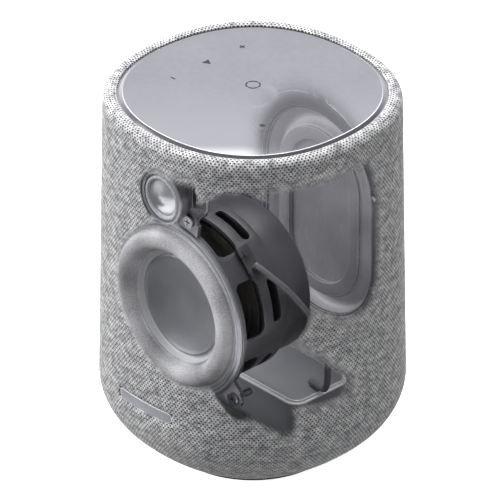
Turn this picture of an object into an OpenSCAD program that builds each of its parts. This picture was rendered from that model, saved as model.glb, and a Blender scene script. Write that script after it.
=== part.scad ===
// Smart speaker: a cloth-covered cabinet, round-cornered in plan, with a touch panel on top,
// a woofer and a tweeter at the front, a passive radiator at the rear and electronics in the base.
// Origin: centre of the foot on the table. +Z up, front faces -Y, right is +X.

/* [Body] */
// Overall width at the widest level
body_w = 140; // [126:1:176]
// Overall depth at the widest level
body_d = 140; // [126:1:176]
// Overall height
body_h = 188.5; // [180:0.5:230]
// Squareness of the plan outline, 2 is an ellipse
plan_power = 2.24; // [2.1:0.02:2.6]
// How far the bottom curve draws in
bottom_round_w = 45; // [36:1:48]
// How high the bottom curve rises
bottom_round_h = 37.2; // [30:0.2:40]
// Draw-in of the wall at the shoulder
top_taper = 2.6; // [1:0.1:5]
// Half width of the rolled top edge
top_round_w = 4.2; // [3:0.1:6]
// Height of the rolled top edge
top_round_h = 4.9; // [3:0.1:7]

/* [Skins] */
// Thickness of the cloth sleeve
cloth_t = 0.9; // [0.6:0.1:1.4]
// Thickness of the grille carrier under the cloth
carrier_t = 1.8; // [1.4:0.1:2.4]
// Wall of the cabinet
cabinet_wall = 2.6; // [2:0.1:3.2]
// Wall of the base chassis
base_wall = 3; // [2.4:0.1:3.6]
// Radius of the rubber foot
foot_r = 40; // [34:1:42]

/* [Woofer] */
// Height of the woofer axis
woofer_z = 91; // [88:0.5:96]
// Radius of the basket flange
flange_r = 45.4; // [44.5:0.1:46.5]
// Radius of the basket wall
basket_r = 41; // [40:0.2:42]
// Outer radius of the cone, where the surround roll is glued
cone_r = 28.9; // [27:0.1:30]
// Radius of the voice coil former
coil_r = 16; // [14:0.5:18]
// Radius of the magnet can
can_r = 38.5; // [37.5:0.5:40]
// Depth of the magnet can
can_depth = 19; // [17:0.5:22]
// Radius of the flange screw circle
lug_r = 51; // [50:0.5:52]

/* [Tweeter] */
// Height of the tweeter axis
tweeter_z = 153.3; // [151:0.5:158]
// Radius of the tweeter face ring
tweeter_r = 13.2; // [12.5:0.1:15]
// Radius of the tweeter dome
dome_r = 8.8; // [8:0.1:9.4]

/* [Radiator] */
// Half width of the opening that the radiator roll spans
radiator_r = 36.4; // [34:0.2:37]
// Height of the centre of the radiator
radiator_z = 106.6; // [104:0.5:112]
// Distance between the centres of the radiator's round ends
radiator_straight = 34.2; // [28:0.2:36]
// Width of the radiator roll
radiator_roll = 9.4; // [8:0.2:11]

/* [Electronics] */
// Width of the electronics cover
cover_w = 66; // [62:1:72]
// Depth of the electronics cover
cover_d = 37; // [36:1:38]
// Height of the electronics cover above the floor
cover_h = 21.2; // [20:0.2:23]

/* [Rear panel] */
// Width of the rear connector panel
io_w = 42; // [40:1:48]
// Height of the rear connector panel
io_h = 24; // [24:1:27]
// Radius of the microphone button
button_r = 4; // [3.5:0.1:4.5]

/* [Hidden] */
$fn = 64;

gap = 0.1;            // clearance between pieces that are glued or clipped face to face
run = 0.4;            // clearance round a piece that slides
pilot = 0.02;         // clearance of a screw shank in its own thread
segs = 64;            // sides of the plan outline
curve_steps = 8;      // steps of the bottom curve
roll_steps = 7;       // steps of the top roll
roll_end = 125;       // angle where the top roll dips to the panel

// ---- plan outline and skin profile, both as insets from the widest outline ----
half_w = body_w / 2;
half_d = body_d / 2;
lip_z = 2.2;                              // level where the bottom curve would lie flat
foot_h = 5;                               // height of the rubber foot
skin_start = acos(1 - (foot_h + 0.4 - lip_z) / bottom_round_h);   // curve angle at the sleeve's lip
shoulder_z = body_h - top_round_h;        // level where the top roll starts
curve_top_z = lip_z + bottom_round_h;

function outline(inset, n = segs) = [for (i = [0:n - 1]) let (t = 360 * i / n)
    [(half_w - inset) * sign(cos(t)) * pow(abs(cos(t)), 2 / plan_power),
     (half_d - inset) * sign(sin(t)) * pow(abs(sin(t)), 2 / plan_power)]];

// point of the bottom curve at angle k, moved t inwards along the curve's normal: [inset, z]
function bottom_point(k, t) = let (
    nw = sin(k) / bottom_round_w, nz = cos(k) / bottom_round_h, nl = norm([nw, nz]))
    [bottom_round_w * (1 - sin(k)) + t * nw / nl, lip_z + bottom_round_h * (1 - cos(k)) + t * nz / nl];

// point of the top roll at angle q, moved t inwards: [inset, z]
function top_point(q, t) = let (
    nw = cos(q) / top_round_w, nz = sin(q) / top_round_h, nl = norm([nw, nz]))
    [top_taper + top_round_w * (1 - cos(q)) + t * nw / nl, shoulder_z + top_round_h * sin(q) - t * nz / nl];

function skin_line(t, from = skin_start) = concat(
    [for (i = [0:curve_steps]) bottom_point(from + (90 - from) * i / curve_steps, t)],
    [for (i = [0:roll_steps]) top_point(roll_end * i / roll_steps, t)]);

// inset of the skin at a level on its straight wall
function skin_inset(z) = top_taper * (z - curve_top_z) / (shoulder_z - curve_top_z);

function flip(list) = [for (i = [len(list) - 1:-1:0]) list[i]];

// two triangles of a four-sided face, its corners clockwise as seen from outside
function four(a, b, c, d) = [[a, b, c], [a, c, d]];

// a closed ring round the plan outline from a closed loop of [inset, z] points
module outline_ring(loop) {
    m = len(loop);
    points = [for (i = [0:segs - 1]) for (p = loop) let (q = outline(p[0])[i]) [q[0], q[1], p[1]]];
    faces = [for (i = [0:segs - 1]) for (j = [0:m - 1]) let (
        this = i * m, next = ((i + 1) % segs) * m, up = (j + 1) % m)
        for (f = four(this + j, this + up, next + up, next + j)) f];
    polyhedron(points, faces, convexity = 8);
}

// the same ring from an outer and an inner line, open between rows low and low + 1 in some segments
module outline_ring_open(line_out, line_in, low, open) {
    rows = len(line_out);
    m = 2 * rows;
    loop = concat(line_out, flip(line_in));
    points = [for (i = [0:segs - 1]) for (p = loop) let (q = outline(p[0])[i]) [q[0], q[1], p[1]]];
    skin = [for (i = [0:segs - 1]) for (j = [0:m - 1]) let (
        this = i * m, next = ((i + 1) % segs) * m, up = (j + 1) % m,
        cut = (j == low || j == m - 2 - low) && len([for (k = open) if (k == i) k]) > 0)
        if (!cut) for (f = four(this + j, this + up, next + up, next + j)) f];
    edges = [for (i = open) let (
        l = i * m, r = ((i + 1) % segs) * m, top = low + 1, in_low = m - 1 - low, in_top = m - 2 - low)
        for (f = concat(
            four(l + low, l + in_low, r + in_low, r + low), four(l + top, r + top, r + in_top, l + in_top),
            four(l + low, l + top, l + in_top, l + in_low), four(r + in_low, r + in_top, r + top, r + low))) f];
    polyhedron(points, concat(skin, edges), convexity = 10);
}

// a closed solid on the plan outline through a rising line of [inset, z] points
module outline_solid(line) {
    top = (len(line) - 1) * segs;
    points = [for (p = line) for (q = outline(p[0])) [q[0], q[1], p[1]]];
    sides = [for (row = [0:segs:top - 1]) for (i = [0:segs - 1]) let (
        this = row + i, next = row + (i + 1) % segs)
        for (f = four(this, this + segs, next + segs, next)) f];
    polyhedron(points, concat([[for (i = [0:segs - 1]) i]], [[for (i = [segs - 1:-1:0]) top + i]], sides),
        convexity = 4);
}

module outline_plate(inset, z0, z1) {
    translate([0, 0, z0])
        linear_extrude(z1 - z0) polygon(outline(inset));
}

// ---- small shared shapes ----
module round_rect(w, h, r) {
    square([w - 2 * r, h], center = true);
    square([w, h - 2 * r], center = true);
    for (x = [-1, 1], y = [-1, 1]) translate([x * (w / 2 - r), y * (h / 2 - r)]) circle(r);
}

// drawn in X and Z as seen from the front, and reaching back from y
module reach_back(y, depth) {
    translate([0, y + depth, 0]) rotate([90, 0, 0]) linear_extrude(depth) children();
}

module tube(r_out, r_in, h) {
    difference() {
        cylinder(r = r_out, h = h);
        translate([0, 0, -1]) cylinder(r = r_in, h = h + 2);
    }
}

// cross recess screw along +Z from under its head: the head stands on z = 0
module screw(head_r, head_h, shank_r, length) {
    difference() {
        union() {
            translate([0, 0, -head_h]) cylinder(r = head_r, h = head_h);
            cylinder(r = shank_r, h = length);
        }
        for (a = [0, 90]) translate([0, 0, -head_h]) rotate(a)
            cube([head_r * 1.2, 0.5, head_h], center = true);
    }
}

// ---- cloth sleeve, carrier and badge ----
io_z = 46;                                  // centre of the rear panel
io_clear = 0.3;
slot_low = io_z + io_h / 2 + 4;             // ends of the sound slots
slot_high = shoulder_z - 14;
badge_w = 36;
badge_h = 5.4;
badge_z = 45.6;

module rear_cut(grow) {
    reach_back(half_d - 12, 20) translate([0, io_z])
        square([io_w + 2 * grow, io_h + 2 * grow], center = true);
}

module fabric_sleeve() {
    color("lightgray") difference() {
        outline_ring(concat(skin_line(0), flip(skin_line(cloth_t))));
        rear_cut(io_clear);
        reach_back(-half_d - 4, 8) translate([0, badge_z])
            square([badge_w + io_clear, badge_h + io_clear], center = true);
    }
}

// skin line with two more rows on the straight wall, at the ends of the sound slots
function slotted_line(t) = concat(
    [for (i = [0:curve_steps]) bottom_point(skin_start + (90 - skin_start) * i / curve_steps, t)],
    [for (z = [slot_low, slot_high]) [skin_inset(z) + t, z]],
    [for (i = [0:roll_steps]) top_point(roll_end * i / roll_steps, t)]);

// outline segments that are open, at the rear and the front
slot_segments = [for (middle = [segs / 4, 3 * segs / 4]) for (k = [1, 3, 5]) for (i = [k, -1 - k]) middle + i];

module grille_carrier() {
    color("dimgray") difference() {
        outline_ring_open(slotted_line(cloth_t + gap), slotted_line(cloth_t + gap + carrier_t),
            curve_steps + 1, slot_segments);
        rear_cut(io_clear);
    }
}

module badge_plate() {
    color("gainsboro") intersection() {
        reach_back(-half_d - 4, 8) translate([0, badge_z]) round_rect(badge_w, badge_h, badge_h / 2 - 0.01);
        outline_band(skin_inset(badge_z), cloth_t + gap + skin_inset(badge_z - badge_h / 2),
            badge_z - badge_h, badge_z + badge_h);
    }
}

// ---- touch panel on top ----
panel_inset = top_point(roll_end, 0)[0] + 0.6;
panel_t = 2.3;
panel_bevel_w = 1.7;
panel_bevel_h = 1.5;
panel_top = body_h - 0.3;
panel_z = panel_top - panel_t;
mark_t = 0.15;
mark_w = 0.6;
board_t = 1.6;
touch_z = panel_z - 5;
touch_r = min(half_w, half_d) - panel_inset - 5.6;
mic_y = 44;
icon_x = -34;

module top_panel() {
    color("silver") difference() {
        outline_solid([[panel_inset, panel_z], [panel_inset, panel_top - panel_bevel_h],
            [panel_inset + panel_bevel_w, panel_top]]);
        for (y = [-mic_y, mic_y]) translate([0, y, panel_z - 1]) cylinder(r = 0.6, h = panel_t + 2);
    }
}

module mark_bar(x, y, length, turn) {
    translate([x, y]) rotate(turn) square([length, mark_w], center = true);
}

module panel_markings() {
    color("dimgray") translate([0, 0, panel_top]) linear_extrude(mark_t) {
        mark_bar(icon_x, -19, 2.8, 0);
        translate([icon_x, 3]) polygon([[-1.6, -2], [2, 0], [-1.6, 2]]);
        mark_bar(icon_x, 25, 2.8, 0);
        mark_bar(icon_x, 25, 2.8, 90);
        for (a = [0, 60, 120]) mark_bar(27, -19, 2.8, a);
        translate([-4, 4]) for (a = [0:90:270]) rotate(a) intersection() {
            difference() {
                circle(3.6);
                circle(3.6 - mark_w);
            }
            polygon([[0, 0], [9, 1], [9, 9], [1, 9]]);
        }
    }
}

module outline_band(inset_out, inset_in, z0, z1) {
    translate([0, 0, z0]) linear_extrude(z1 - z0) difference() {
        polygon(outline(inset_out));
        polygon(outline(inset_in));
    }
}

module top_trim_ring() {
    color("#303236") outline_band(panel_inset - 0.5, panel_inset - gap, panel_z - 1.6, panel_z + 1.1);
}

frame_post_r = 4;
module top_frame() {
    frame_low = lid_top;
    color("#3c3e42") difference() {
        union() {
            outline_band(panel_inset - 1.2, panel_inset + 5, frame_low, panel_z - 1.7);
            outline_band(panel_inset + 0.2, panel_inset + 5, panel_z - 2, panel_z - gap);
            for (i = [0:3]) let (q = outline(panel_inset + 3)[segs / 8 + i * segs / 4])
                rotate(atan2(q[1], q[0])) translate([touch_r - frame_post_r, -frame_post_r, frame_low])
                    cube([norm(q) - touch_r + frame_post_r, 2 * frame_post_r, touch_z - frame_low]);
        }
        at_columns() translate([0, 0, frame_low - 1]) cylinder(r = 3.2, h = 3.2);
    }
}

module touch_board() {
    color("#20452f") union() {
        translate([0, 0, touch_z]) cylinder(r = touch_r, h = board_t);
        for (x = [-12, -4, 4, 12]) translate([x, -16, touch_z + board_t]) cube([2.4, 1.6, 0.9]);
        translate([-9, 18, touch_z + board_t]) cube([9, 9, 1.1]);
        for (i = [0:5]) translate([14 + i * 4, 20, touch_z + board_t]) cube([2, 1.2, 0.8]);
    }
}

module light_guide() {
    color("white") translate([0, 0, touch_z + board_t])
        tube(12.4, 9.6, panel_z - touch_z - board_t - gap);
}

module microphones() {
    color("silver") for (y = [-mic_y, mic_y]) translate([0, y, touch_z + board_t]) difference() {
        translate([-2, -1.5, 0]) cube([4, 3, 1]);
        translate([0, 0, 0.5]) cylinder(r = 0.4, h = 1);
    }
}

module microphone_boots() {
    color("#202124") for (y = [-mic_y, mic_y]) translate([0, y, touch_z + board_t + 1])
        tube(1.9, 0.7, panel_z - touch_z - board_t - 1 - gap);
}

module antennas() {
    color("#20452f") for (side = [-1, 1]) translate([side * 30 - 15, -4, lid_top + gap]) {
        cube([30, 8, 0.8]);
        translate([3, 2, 0.8]) cube([22, 1.2, 0.3]);
    }
}

// ---- cabinet: shell, lid and gaskets ----
cabinet_inset = 6.2;
front_set = 24;                 // from the widest outline to the baffle's face
rear_set = 23.4;                // from the widest outline to the rear wall's face
baffle_y = -half_d + front_set;
rear_y = half_d - rear_set;
rear_in_y = rear_y - cabinet_wall;
gasket_t = 0.8;
cabinet_low = 31;
cabinet_high = panel_z - 10.7;
lid_z = cabinet_high + gasket_t;
lid_top = lid_z + 2.5;
column_x = half_w - 20;
column_y = half_d - 35;
column_r = 4;
screw_r = 1.6;
boss_l = 10;

module cabinet_outline(inset) {
    intersection() {
        polygon(outline(cabinet_inset + inset));
        translate([-half_w, baffle_y + inset]) square([body_w, rear_y - baffle_y - 2 * inset]);
    }
}

module at_columns() {
    for (x = [-1, 1], y = [-1, 1]) translate([x * column_x, y * column_y, 0]) children();
}

// places its child at the woofer's three screw lugs, axis along +Y from the flange's back
lug_angles = [80, -40, -150];
module at_lugs(y) {
    for (a = lug_angles)
        translate([lug_r * cos(a), y, woofer_z + lug_r * sin(a)]) rotate([-90, 0, 0]) children();
}

tweeter_hole_x = 15;
tweeter_hole_z = tweeter_z + 6;
module at_tweeter_screws(y) {
    for (x = [-1, 1]) translate([x * tweeter_hole_x, y, tweeter_hole_z]) rotate([-90, 0, 0]) children();
}

module cabinet_shell() {
    color("#8c8e92") difference() {
        union() {
            translate([0, 0, cabinet_low]) linear_extrude(cabinet_high - cabinet_low) difference() {
                cabinet_outline(0);
                cabinet_outline(cabinet_wall);
            }
            intersection() {
                union() {
                    at_columns() translate([0, 0, cabinet_low])
                        cylinder(r = column_r, h = cabinet_high - cabinet_low);
                    at_lugs(baffle_y) cylinder(r = 4, h = boss_l);
                    at_tweeter_screws(baffle_y) cylinder(r = 3, h = boss_l);
                }
                translate([0, 0, cabinet_low]) linear_extrude(cabinet_high - cabinet_low) cabinet_outline(0);
            }
        }
        translate([0, baffle_y - 1, woofer_z]) rotate([-90, 0, 0]) cylinder(r = basket_r + 1, h = cabinet_wall + 2);
        at_lugs(baffle_y - 1) cylinder(r = screw_r + pilot, h = boss_l + 2);
        at_tweeter_screws(baffle_y - 1) cylinder(r = 1.2 + pilot, h = boss_l + 2);
        reach_back(rear_in_y - 1, cabinet_wall + 2) racetrack(radiator_r + 2.6);
        at_radiator_screws() cylinder(r = screw_r + pilot, h = frame_t + cabinet_wall + 1);
        at_columns() {
            translate([0, 0, cabinet_high - 12]) cylinder(r = screw_r + pilot, h = 13);
        }
    }
}

module cabinet_lid() {
    color("#7c7e82") difference() {
        translate([0, 0, lid_z]) linear_extrude(lid_top - lid_z) cabinet_outline(0.2);
        at_columns() translate([0, 0, lid_z - 1]) cylinder(r = screw_r + 0.3, h = 5);
    }
}

module cabinet_gasket(z) {
    translate([0, 0, z]) linear_extrude(gasket_t) difference() {
        cabinet_outline(0.4);
        cabinet_outline(cabinet_wall - 0.4);
    }
}

module lid_gasket() {
    color("#202124") difference() {
        cabinet_gasket(cabinet_high);
        at_columns() translate([0, 0, cabinet_high - 1]) cylinder(r = screw_r + 0.3, h = gasket_t + 2);
    }
}

module lid_screws() {
    color("#b8babd") at_columns() translate([0, 0, lid_top]) mirror([0, 0, 1]) screw(2.8, 1.6, screw_r, 12);
}

// ---- base: chassis, gasket, foot and screws ----
floor_z = 9;
floor_top = floor_z + base_wall;
rim_z = cabinet_low - gasket_t;
skins_t = cloth_t + gap + carrier_t + run;
bowl_start = 26;                // curve angle where the bowl's wall meets its floor
bowl_end = 70;                  // curve angle where the wall turns upright
foot_z = foot_h - 2;
foot_screw_r = foot_r - 12;

module base_gasket() {
    color("#202124") cabinet_gasket(rim_z);
}

function bowl_line(t, from) = [for (i = [0:curve_steps])
    bottom_point(from + (bowl_end - from) * i / curve_steps, t)];

skirt_line = bowl_line(skins_t, bowl_start);
skirt_in_line = bowl_line(skins_t + base_wall, bowl_start + 5);
lip_inset = skirt_in_line[0][0] + 5;        // inner edge of the skirt's lip
step_z = floor_z + base_wall / 2;           // level where the lip rests on the floor's rim

draft = 0.06;                               // slight slope of the skirt's moulded edges
lip_screw_r = 1;
lip_head_h = 0.8;

// places its child at the screws that join the floor's rim to the skirt's lip
module at_lip_screws() {
    for (i = [0:7]) let (q = outline(lip_inset - 1.7)[i * segs / 8 + segs / 16])
        translate([q[0], q[1], floor_z]) children();
}

module base_skirt() {
    top_out = skirt_line[curve_steps][0];
    color("#6f7175") difference() {
        outline_ring(concat(
            [[lip_inset, step_z + draft], [skirt_line[1][0], step_z]],
            [for (i = [2:curve_steps]) skirt_line[i]],
            [[top_out, rim_z], [skirt_in_line[curve_steps][0], rim_z - draft]], flip(skirt_in_line),
            [[skirt_in_line[0][0], floor_top], [lip_inset, floor_top - draft]]));
        at_lip_screws() cylinder(r = lip_screw_r + pilot, h = 2 * base_wall, $fn = 16);
    }
}

module base_chassis() {
    color("#6f7175") difference() {
        union() {
            outline_plate(lip_inset + gap, floor_z, floor_top);
            outline_plate(skirt_line[0][0] + gap, floor_z, step_z);
            intersection() {
                outline_plate(lip_inset + gap, floor_z, main_z);
                for (p = board_holes) translate([p[0], p[1], floor_z]) cylinder(r = 3.4, h = main_z - floor_z);
            }
            for (p = power_holes) translate([p[0], p[1], floor_z]) cylinder(r = 3, h = power_z - floor_z);
            translate([0, 0, foot_h]) cylinder(r = foot_r - 6, h = floor_z - foot_h + 1);
        }
        for (p = concat(board_holes, power_holes)) translate([p[0], p[1], floor_z + 1])
            cylinder(r = 1.3 + pilot, h = 30);
        for (a = [45:90:315]) rotate(a) translate([foot_screw_r, 0, 0]) cylinder(r = 1.3 + pilot, h = floor_top - 1);
        at_lip_screws() {
            cylinder(r = lip_screw_r + 0.2, h = 2 * base_wall);
            translate([0, 0, -1]) cylinder(r = 2, h = lip_head_h + 1);
        }
    }
}

module base_screws() {
    color("#b8babd") {
        at_lip_screws() translate([0, 0, lip_head_h]) screw(1.8, lip_head_h, lip_screw_r, base_wall - lip_head_h - 0.1);
        for (a = [45:90:315]) rotate(a) translate([foot_screw_r, 0, 2.4]) screw(2.6, 1.4, 1.3, 7);
    }
}

module rubber_foot() {
    color("#2a2b2e") difference() {
        cylinder(r = foot_r, h = foot_h);
        for (a = [45:90:315]) rotate(a) translate([foot_screw_r, 0, -1]) {
            cylinder(r = 3, h = 3.4);
            cylinder(r = 1.6, h = 10);
        }
        for (r = [foot_r - 2, foot_r - 4]) translate([0, 0, -1]) tube(r, r - 1, 1.6);
    }
}

// ---- electronics on the base floor ----
cover_y = -3;
cover_wall = 1.8;
cover_mid = cover_y + cover_d / 2;
power_z = floor_top + 3;
main_z = floor_top + 3.4;
power_holes = [for (x = [-26, 26], y = [-13, 13]) [x, cover_mid + y]];
board_holes = [for (x = [-23, 23], y = [-33, -13]) [x, y]];

module electronics_cover() {
    bevel = 1.2;
    color("#5c5e62") difference() {
        translate([0, cover_mid, floor_top]) {
            linear_extrude(cover_h - bevel) round_rect(cover_w, cover_d, 7);
            linear_extrude(cover_h) round_rect(cover_w - 2 * bevel, cover_d - 2 * bevel, 7 - bevel);
        }
        translate([0, cover_mid, floor_top - 1]) linear_extrude(cover_h - cover_wall + 1)
            round_rect(cover_w - 2 * cover_wall, cover_d - 2 * cover_wall, 7 - cover_wall);
        translate([-11, cover_y - 1, floor_top + 5]) cube([5, 5, 1.6]);
    }
}

module power_board() {
    color("#2c5a3c") difference() {
        translate([-29, cover_mid - 15, power_z]) cube([58, 30, board_t]);
        for (p = power_holes) translate([p[0], p[1], power_z - 1]) cylinder(r = 1.6, h = 4);
    }
}

module power_parts() {
    z = power_z + board_t;
    color("#3a3c40") {
        translate([-17, cover_mid - 9, z]) {
            cube([16, 18, 4]);
            translate([2, 2, 4]) cube([12, 14, 6]);
        }
        for (x = [7, 15]) translate([x, cover_mid - 6, z]) cylinder(r = 3.4, h = 11.5);
        translate([4, cover_mid + 2, z]) cube([12, 5, 7]);
    }
}

module heat_sink() {
    color("silver") translate([20.4, cover_mid - 9, power_z + board_t]) {
        cube([4.6, 18, 1.4]);
        for (i = [0:3]) translate([0, i * 5.4, 0]) cube([4.6, 1.4, 10]);
    }
}

module main_board() {
    color("#20452f") difference() {
        union() {
            translate([-28, -38, main_z]) cube([56, 29.4, board_t]);
            translate([-19.8, -36, main_z + board_t]) cube([8, 5, 2.6]);
            for (i = [0:4]) translate([12 + i * 2.6, -29, main_z + board_t]) cube([1.4, 2, 1]);
            translate([15, -22, main_z + board_t]) cylinder(r = 2.2, h = 4.6);
        }
        for (p = board_holes) translate([p[0], p[1], main_z - 1]) cylinder(r = 1.6, h = 10);
    }
}

module shield_can() {
    color("silver") translate([-9, -34, main_z + board_t]) difference() {
        cube([18, 16, 2.4]);
        translate([0.4, 0.4, -1]) cube([17.2, 15.2, 3]);
    }
}

module board_screws() {
    color("#b8babd") {
        for (p = board_holes) translate([p[0], p[1], main_z + board_t]) mirror([0, 0, 1]) screw(2.6, 1.4, 1.3, 5);
        for (p = power_holes) translate([p[0], p[1], power_z + board_t]) mirror([0, 0, 1]) screw(2.4, 1.4, 1.3, 5);
    }
}

// ---- rear panel with inlet, port and button ----
io_back = half_d - 6.5;         // back face of the panel's plate
io_plate = 2;
inlet_z = io_z - 5;
button_x = 9;
button_z = io_z + 6.5;
button_travel = 0.8;
port_x = -10;
io_board_y = io_back - 6.5;
pin_x = 4.3;

module eight(r) {
    for (x = [-1, 1]) translate([x * 4.9, 0]) circle(r);
    square([9.8, 2 * r], center = true);
}

module io_panel() {
    color("#2e3034") difference() {
        union() {
            intersection() {
                difference() {
                    reach_back(io_back, 10) translate([0, io_z]) square([io_w, io_h], center = true);
                    reach_back(io_back + io_plate, 10) translate([0, io_z])
                        square([io_w - 2.4, io_h - 2.4], center = true);
                }
                outline_plate(skin_inset(io_z), io_z - io_h, io_z + io_h);
            }
            for (x = [-1, 1]) translate([x * 17.5, io_board_y + board_t, io_z + 4.5]) rotate([-90, 0, 0])
                cylinder(r = 2, h = io_back - io_board_y - board_t);
        }
        reach_back(io_back - 1, io_plate + 2) {
            translate([0, inlet_z]) eight(4.2);
            translate([button_x, button_z]) circle(button_r + run);
            translate([port_x, button_z]) round_rect(8.2, 3, 1);
        }
    }
}

module power_inlet() {
    color("#1c1d1f") difference() {
        reach_back(io_back - 14, 14 - gap) translate([0, inlet_z]) round_rect(22, 11, 2);
        reach_back(io_back - 12, 14) translate([0, inlet_z]) eight(4.2);
        for (x = [-pin_x, pin_x]) translate([x, io_back - 16, inlet_z]) rotate([-90, 0, 0])
            cylinder(r = 1.2 + pilot, h = 8);
    }
}

module inlet_pins() {
    color("gold") for (x = [-pin_x, pin_x]) translate([x, io_back - 15, inlet_z])
        rotate([-90, 0, 0]) cylinder(r = 1.2, h = 12);
}

module service_port() {
    color("silver") difference() {
        reach_back(io_board_y + board_t, io_back - io_board_y - board_t - gap)
            translate([port_x, button_z]) round_rect(8.2, 3, 1);
        reach_back(io_board_y + board_t + 1, 10) translate([port_x, button_z]) round_rect(7.4, 2.2, 0.7);
    }
}

module io_board() {
    color("#20452f") {
        reach_back(io_board_y, board_t) translate([0, io_z + 6.4]) square([io_w - 3, 10.4], center = true);
        reach_back(io_board_y + board_t, 2.4) translate([button_x, button_z]) square([6, 6], center = true);
    }
}

module mute_button() {
    color("#c8cacd") translate([button_x, 0, button_z]) rotate([-90, 0, 0]) {
        translate([0, 0, io_back - 1.2]) cylinder(r = button_r + 1.2, h = 0.8);
        translate([0, 0, io_back - 0.5]) cylinder(r = button_r, h = io_plate + 1.7);
    }
}

// ---- woofer, drawn along its own axis: +Z of the driver reaches back from the flange's face ----
flange_t = 2;
flange_y = baffle_y - flange_t;
motor_s = 31.7;                 // from the flange's face to the motor's front
top_plate_t = 4;
can_wall = 1.5;
yoke_t = 4;
magnet_t = can_depth - top_plate_t - yoke_t - can_wall;
magnet_s = motor_s + top_plate_t;
yoke_s = magnet_s + magnet_t;
former_t = 0.3;
winding_t = 0.6;
winding_h = 12;
winding_s = motor_s + top_plate_t / 2 - winding_h / 2;
plate_hole_r = coil_r + former_t + winding_t + 0.7;
pole_r = coil_r - 0.6;
shelf_s = 20;
shelf_r = 33;
roll_out_r = 39.4;
roll_h = 5;
roll_t = 0.8;
cone_t = 0.8;
cone_s = 0.2;            // level of the roll's inner land
ring_s = 3;              // level of the cone's flat ring
ring_r = cone_r - 0.9;
dish_r = cone_r - 4.2;
dish_deep = 5.5;
cone_travel = 3.5;

module at_woofer() {
    translate([0, flange_y, woofer_z]) rotate([-90, 0, 0]) children();
}

module woofer_basket() {
    color("#3a3c40") at_woofer() difference() {
        union() {
            linear_extrude(flange_t) {
                circle(flange_r);
                for (a = lug_angles) rotate(-a) {
                    translate([flange_r - 6, -6]) square([lug_r - flange_r + 6, 12]);
                    translate([lug_r, 0]) circle(4.6);
                }
            }
            cylinder(r = basket_r, h = motor_s);
        }
        translate([0, 0, -1]) cylinder(r = basket_r - 1.6, h = shelf_s + 1);
        translate([0, 0, shelf_s - 1]) cylinder(r = shelf_r, h = motor_s - shelf_s - 1.4);
        translate([0, 0, shelf_s + 1.6]) cylinder(r = basket_r - 1.6, h = motor_s - shelf_s - 3.8);
        cylinder(r = 24, h = motor_s + 1);
        for (a = lug_angles) rotate(-a) translate([lug_r, 0, -1]) cylinder(r = screw_r + 0.3, h = 5);
        for (i = [0:5]) rotate(i * 60 + 45) {
            translate([basket_r - 5, 0, 11.2]) rotate([0, 90, 0]) linear_extrude(8) round_rect(13, 28, 4);
            translate([basket_r - 5, 0, 25.6]) rotate([0, 90, 0]) linear_extrude(8) round_rect(5, 22, 2.4);
        }
    }
}

module woofer_trim_ring() {
    color("#9a9ca0") at_woofer() rotate_extrude() polygon([
        [roll_out_r + 1.7, 0], [roll_out_r + 1.7, -1.2], [roll_out_r + 2.3, -1.6], [flange_r - 1.4, -1.6],
        [flange_r - 0.6, -1.0], [flange_r - 0.6, 0]]);
}

// half roll between two radii: outer land lies at s = 0, inner land at s_in
function roll_curve(r0, r1, h, s_in, n = 12) = [for (i = [0:n]) let (q = 180 * i / n)
    [(r0 + r1) / 2 - (r0 - r1) / 2 * -cos(q), s_in * (1 - cos(q)) / 2 - h * sin(q)]];

module roll(r0, r1, h, t, s_in, land_out, land_in) {
    outer = roll_curve(r0, r1, h, s_in);
    inner = roll_curve(r0 - t, r1 + t, h - t, s_in);
    rotate_extrude() polygon(concat(
        [[r0 + land_out, 0], [r0 + land_out, -t]], [for (p = outer) [p[0], p[1] - t]],
        [[r1 - land_in, s_in - t], [r1 - land_in, s_in]], flip(inner)));
}

module woofer_surround() {
    color("#b4b6b9") at_woofer()
        roll(roll_out_r, cone_r + 0.2, roll_h, roll_t, cone_s, 1.5, 1);
}

module woofer_cone() {
    neck_s = 11;
    neck_r = coil_r + former_t + pilot;
    color("#a6a8ab") at_woofer() rotate_extrude() polygon([
        [cone_r, cone_s], [cone_r, cone_s + cone_t], [ring_r + cone_t, cone_s + cone_t],
        [ring_r + 0.4, ring_s + cone_t], [dish_r, ring_s + cone_t + 0.4], [neck_r + 0.8, neck_s],
        [neck_r + 0.8, neck_s + 2], [neck_r, neck_s + 2], [neck_r, neck_s - 0.4], [dish_r - 0.6, ring_s],
        [ring_r - 0.4, ring_s], [ring_r, cone_s]]);
}

function dish_line(t) = let (ball = (dish_r * dish_r + dish_deep * dish_deep) / (2 * dish_deep))
    [for (i = [0:10]) let (r = (dish_r - 0.7) * i / 10)
        [r, ring_s - 0.9 + dish_deep - (ball - sqrt(ball * ball - r * r)) + t]];

module woofer_dish() {
    color("#77797d") at_woofer() rotate_extrude() polygon(concat(
        dish_line(0), [[dish_r - 0.2, ring_s - 1.1], [dish_r + 0.6, ring_s - 0.8], [dish_r + 0.6, ring_s - 0.02],
        [dish_r - 0.7, ring_s - 0.02]], flip([for (p = dish_line(0.6)) if (p[0] < dish_r - 2) p])));
}

module woofer_coil() {
    color("#c07840") at_woofer() {
        translate([0, 0, 10]) tube(coil_r + former_t, coil_r, winding_s + winding_h - 10);
        translate([0, 0, winding_s]) tube(coil_r + former_t + winding_t, coil_r + former_t - 0.05, winding_h);
    }
}

function wave(s, side) = [for (i = [0:24]) let (r = coil_r + former_t + pilot + 1 + (shelf_r - coil_r - 1) * i / 24)
    [r, s + 0.9 * sin(i * 75) * (i > 0 && i < 24 ? 1 : 0) + side]];

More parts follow.
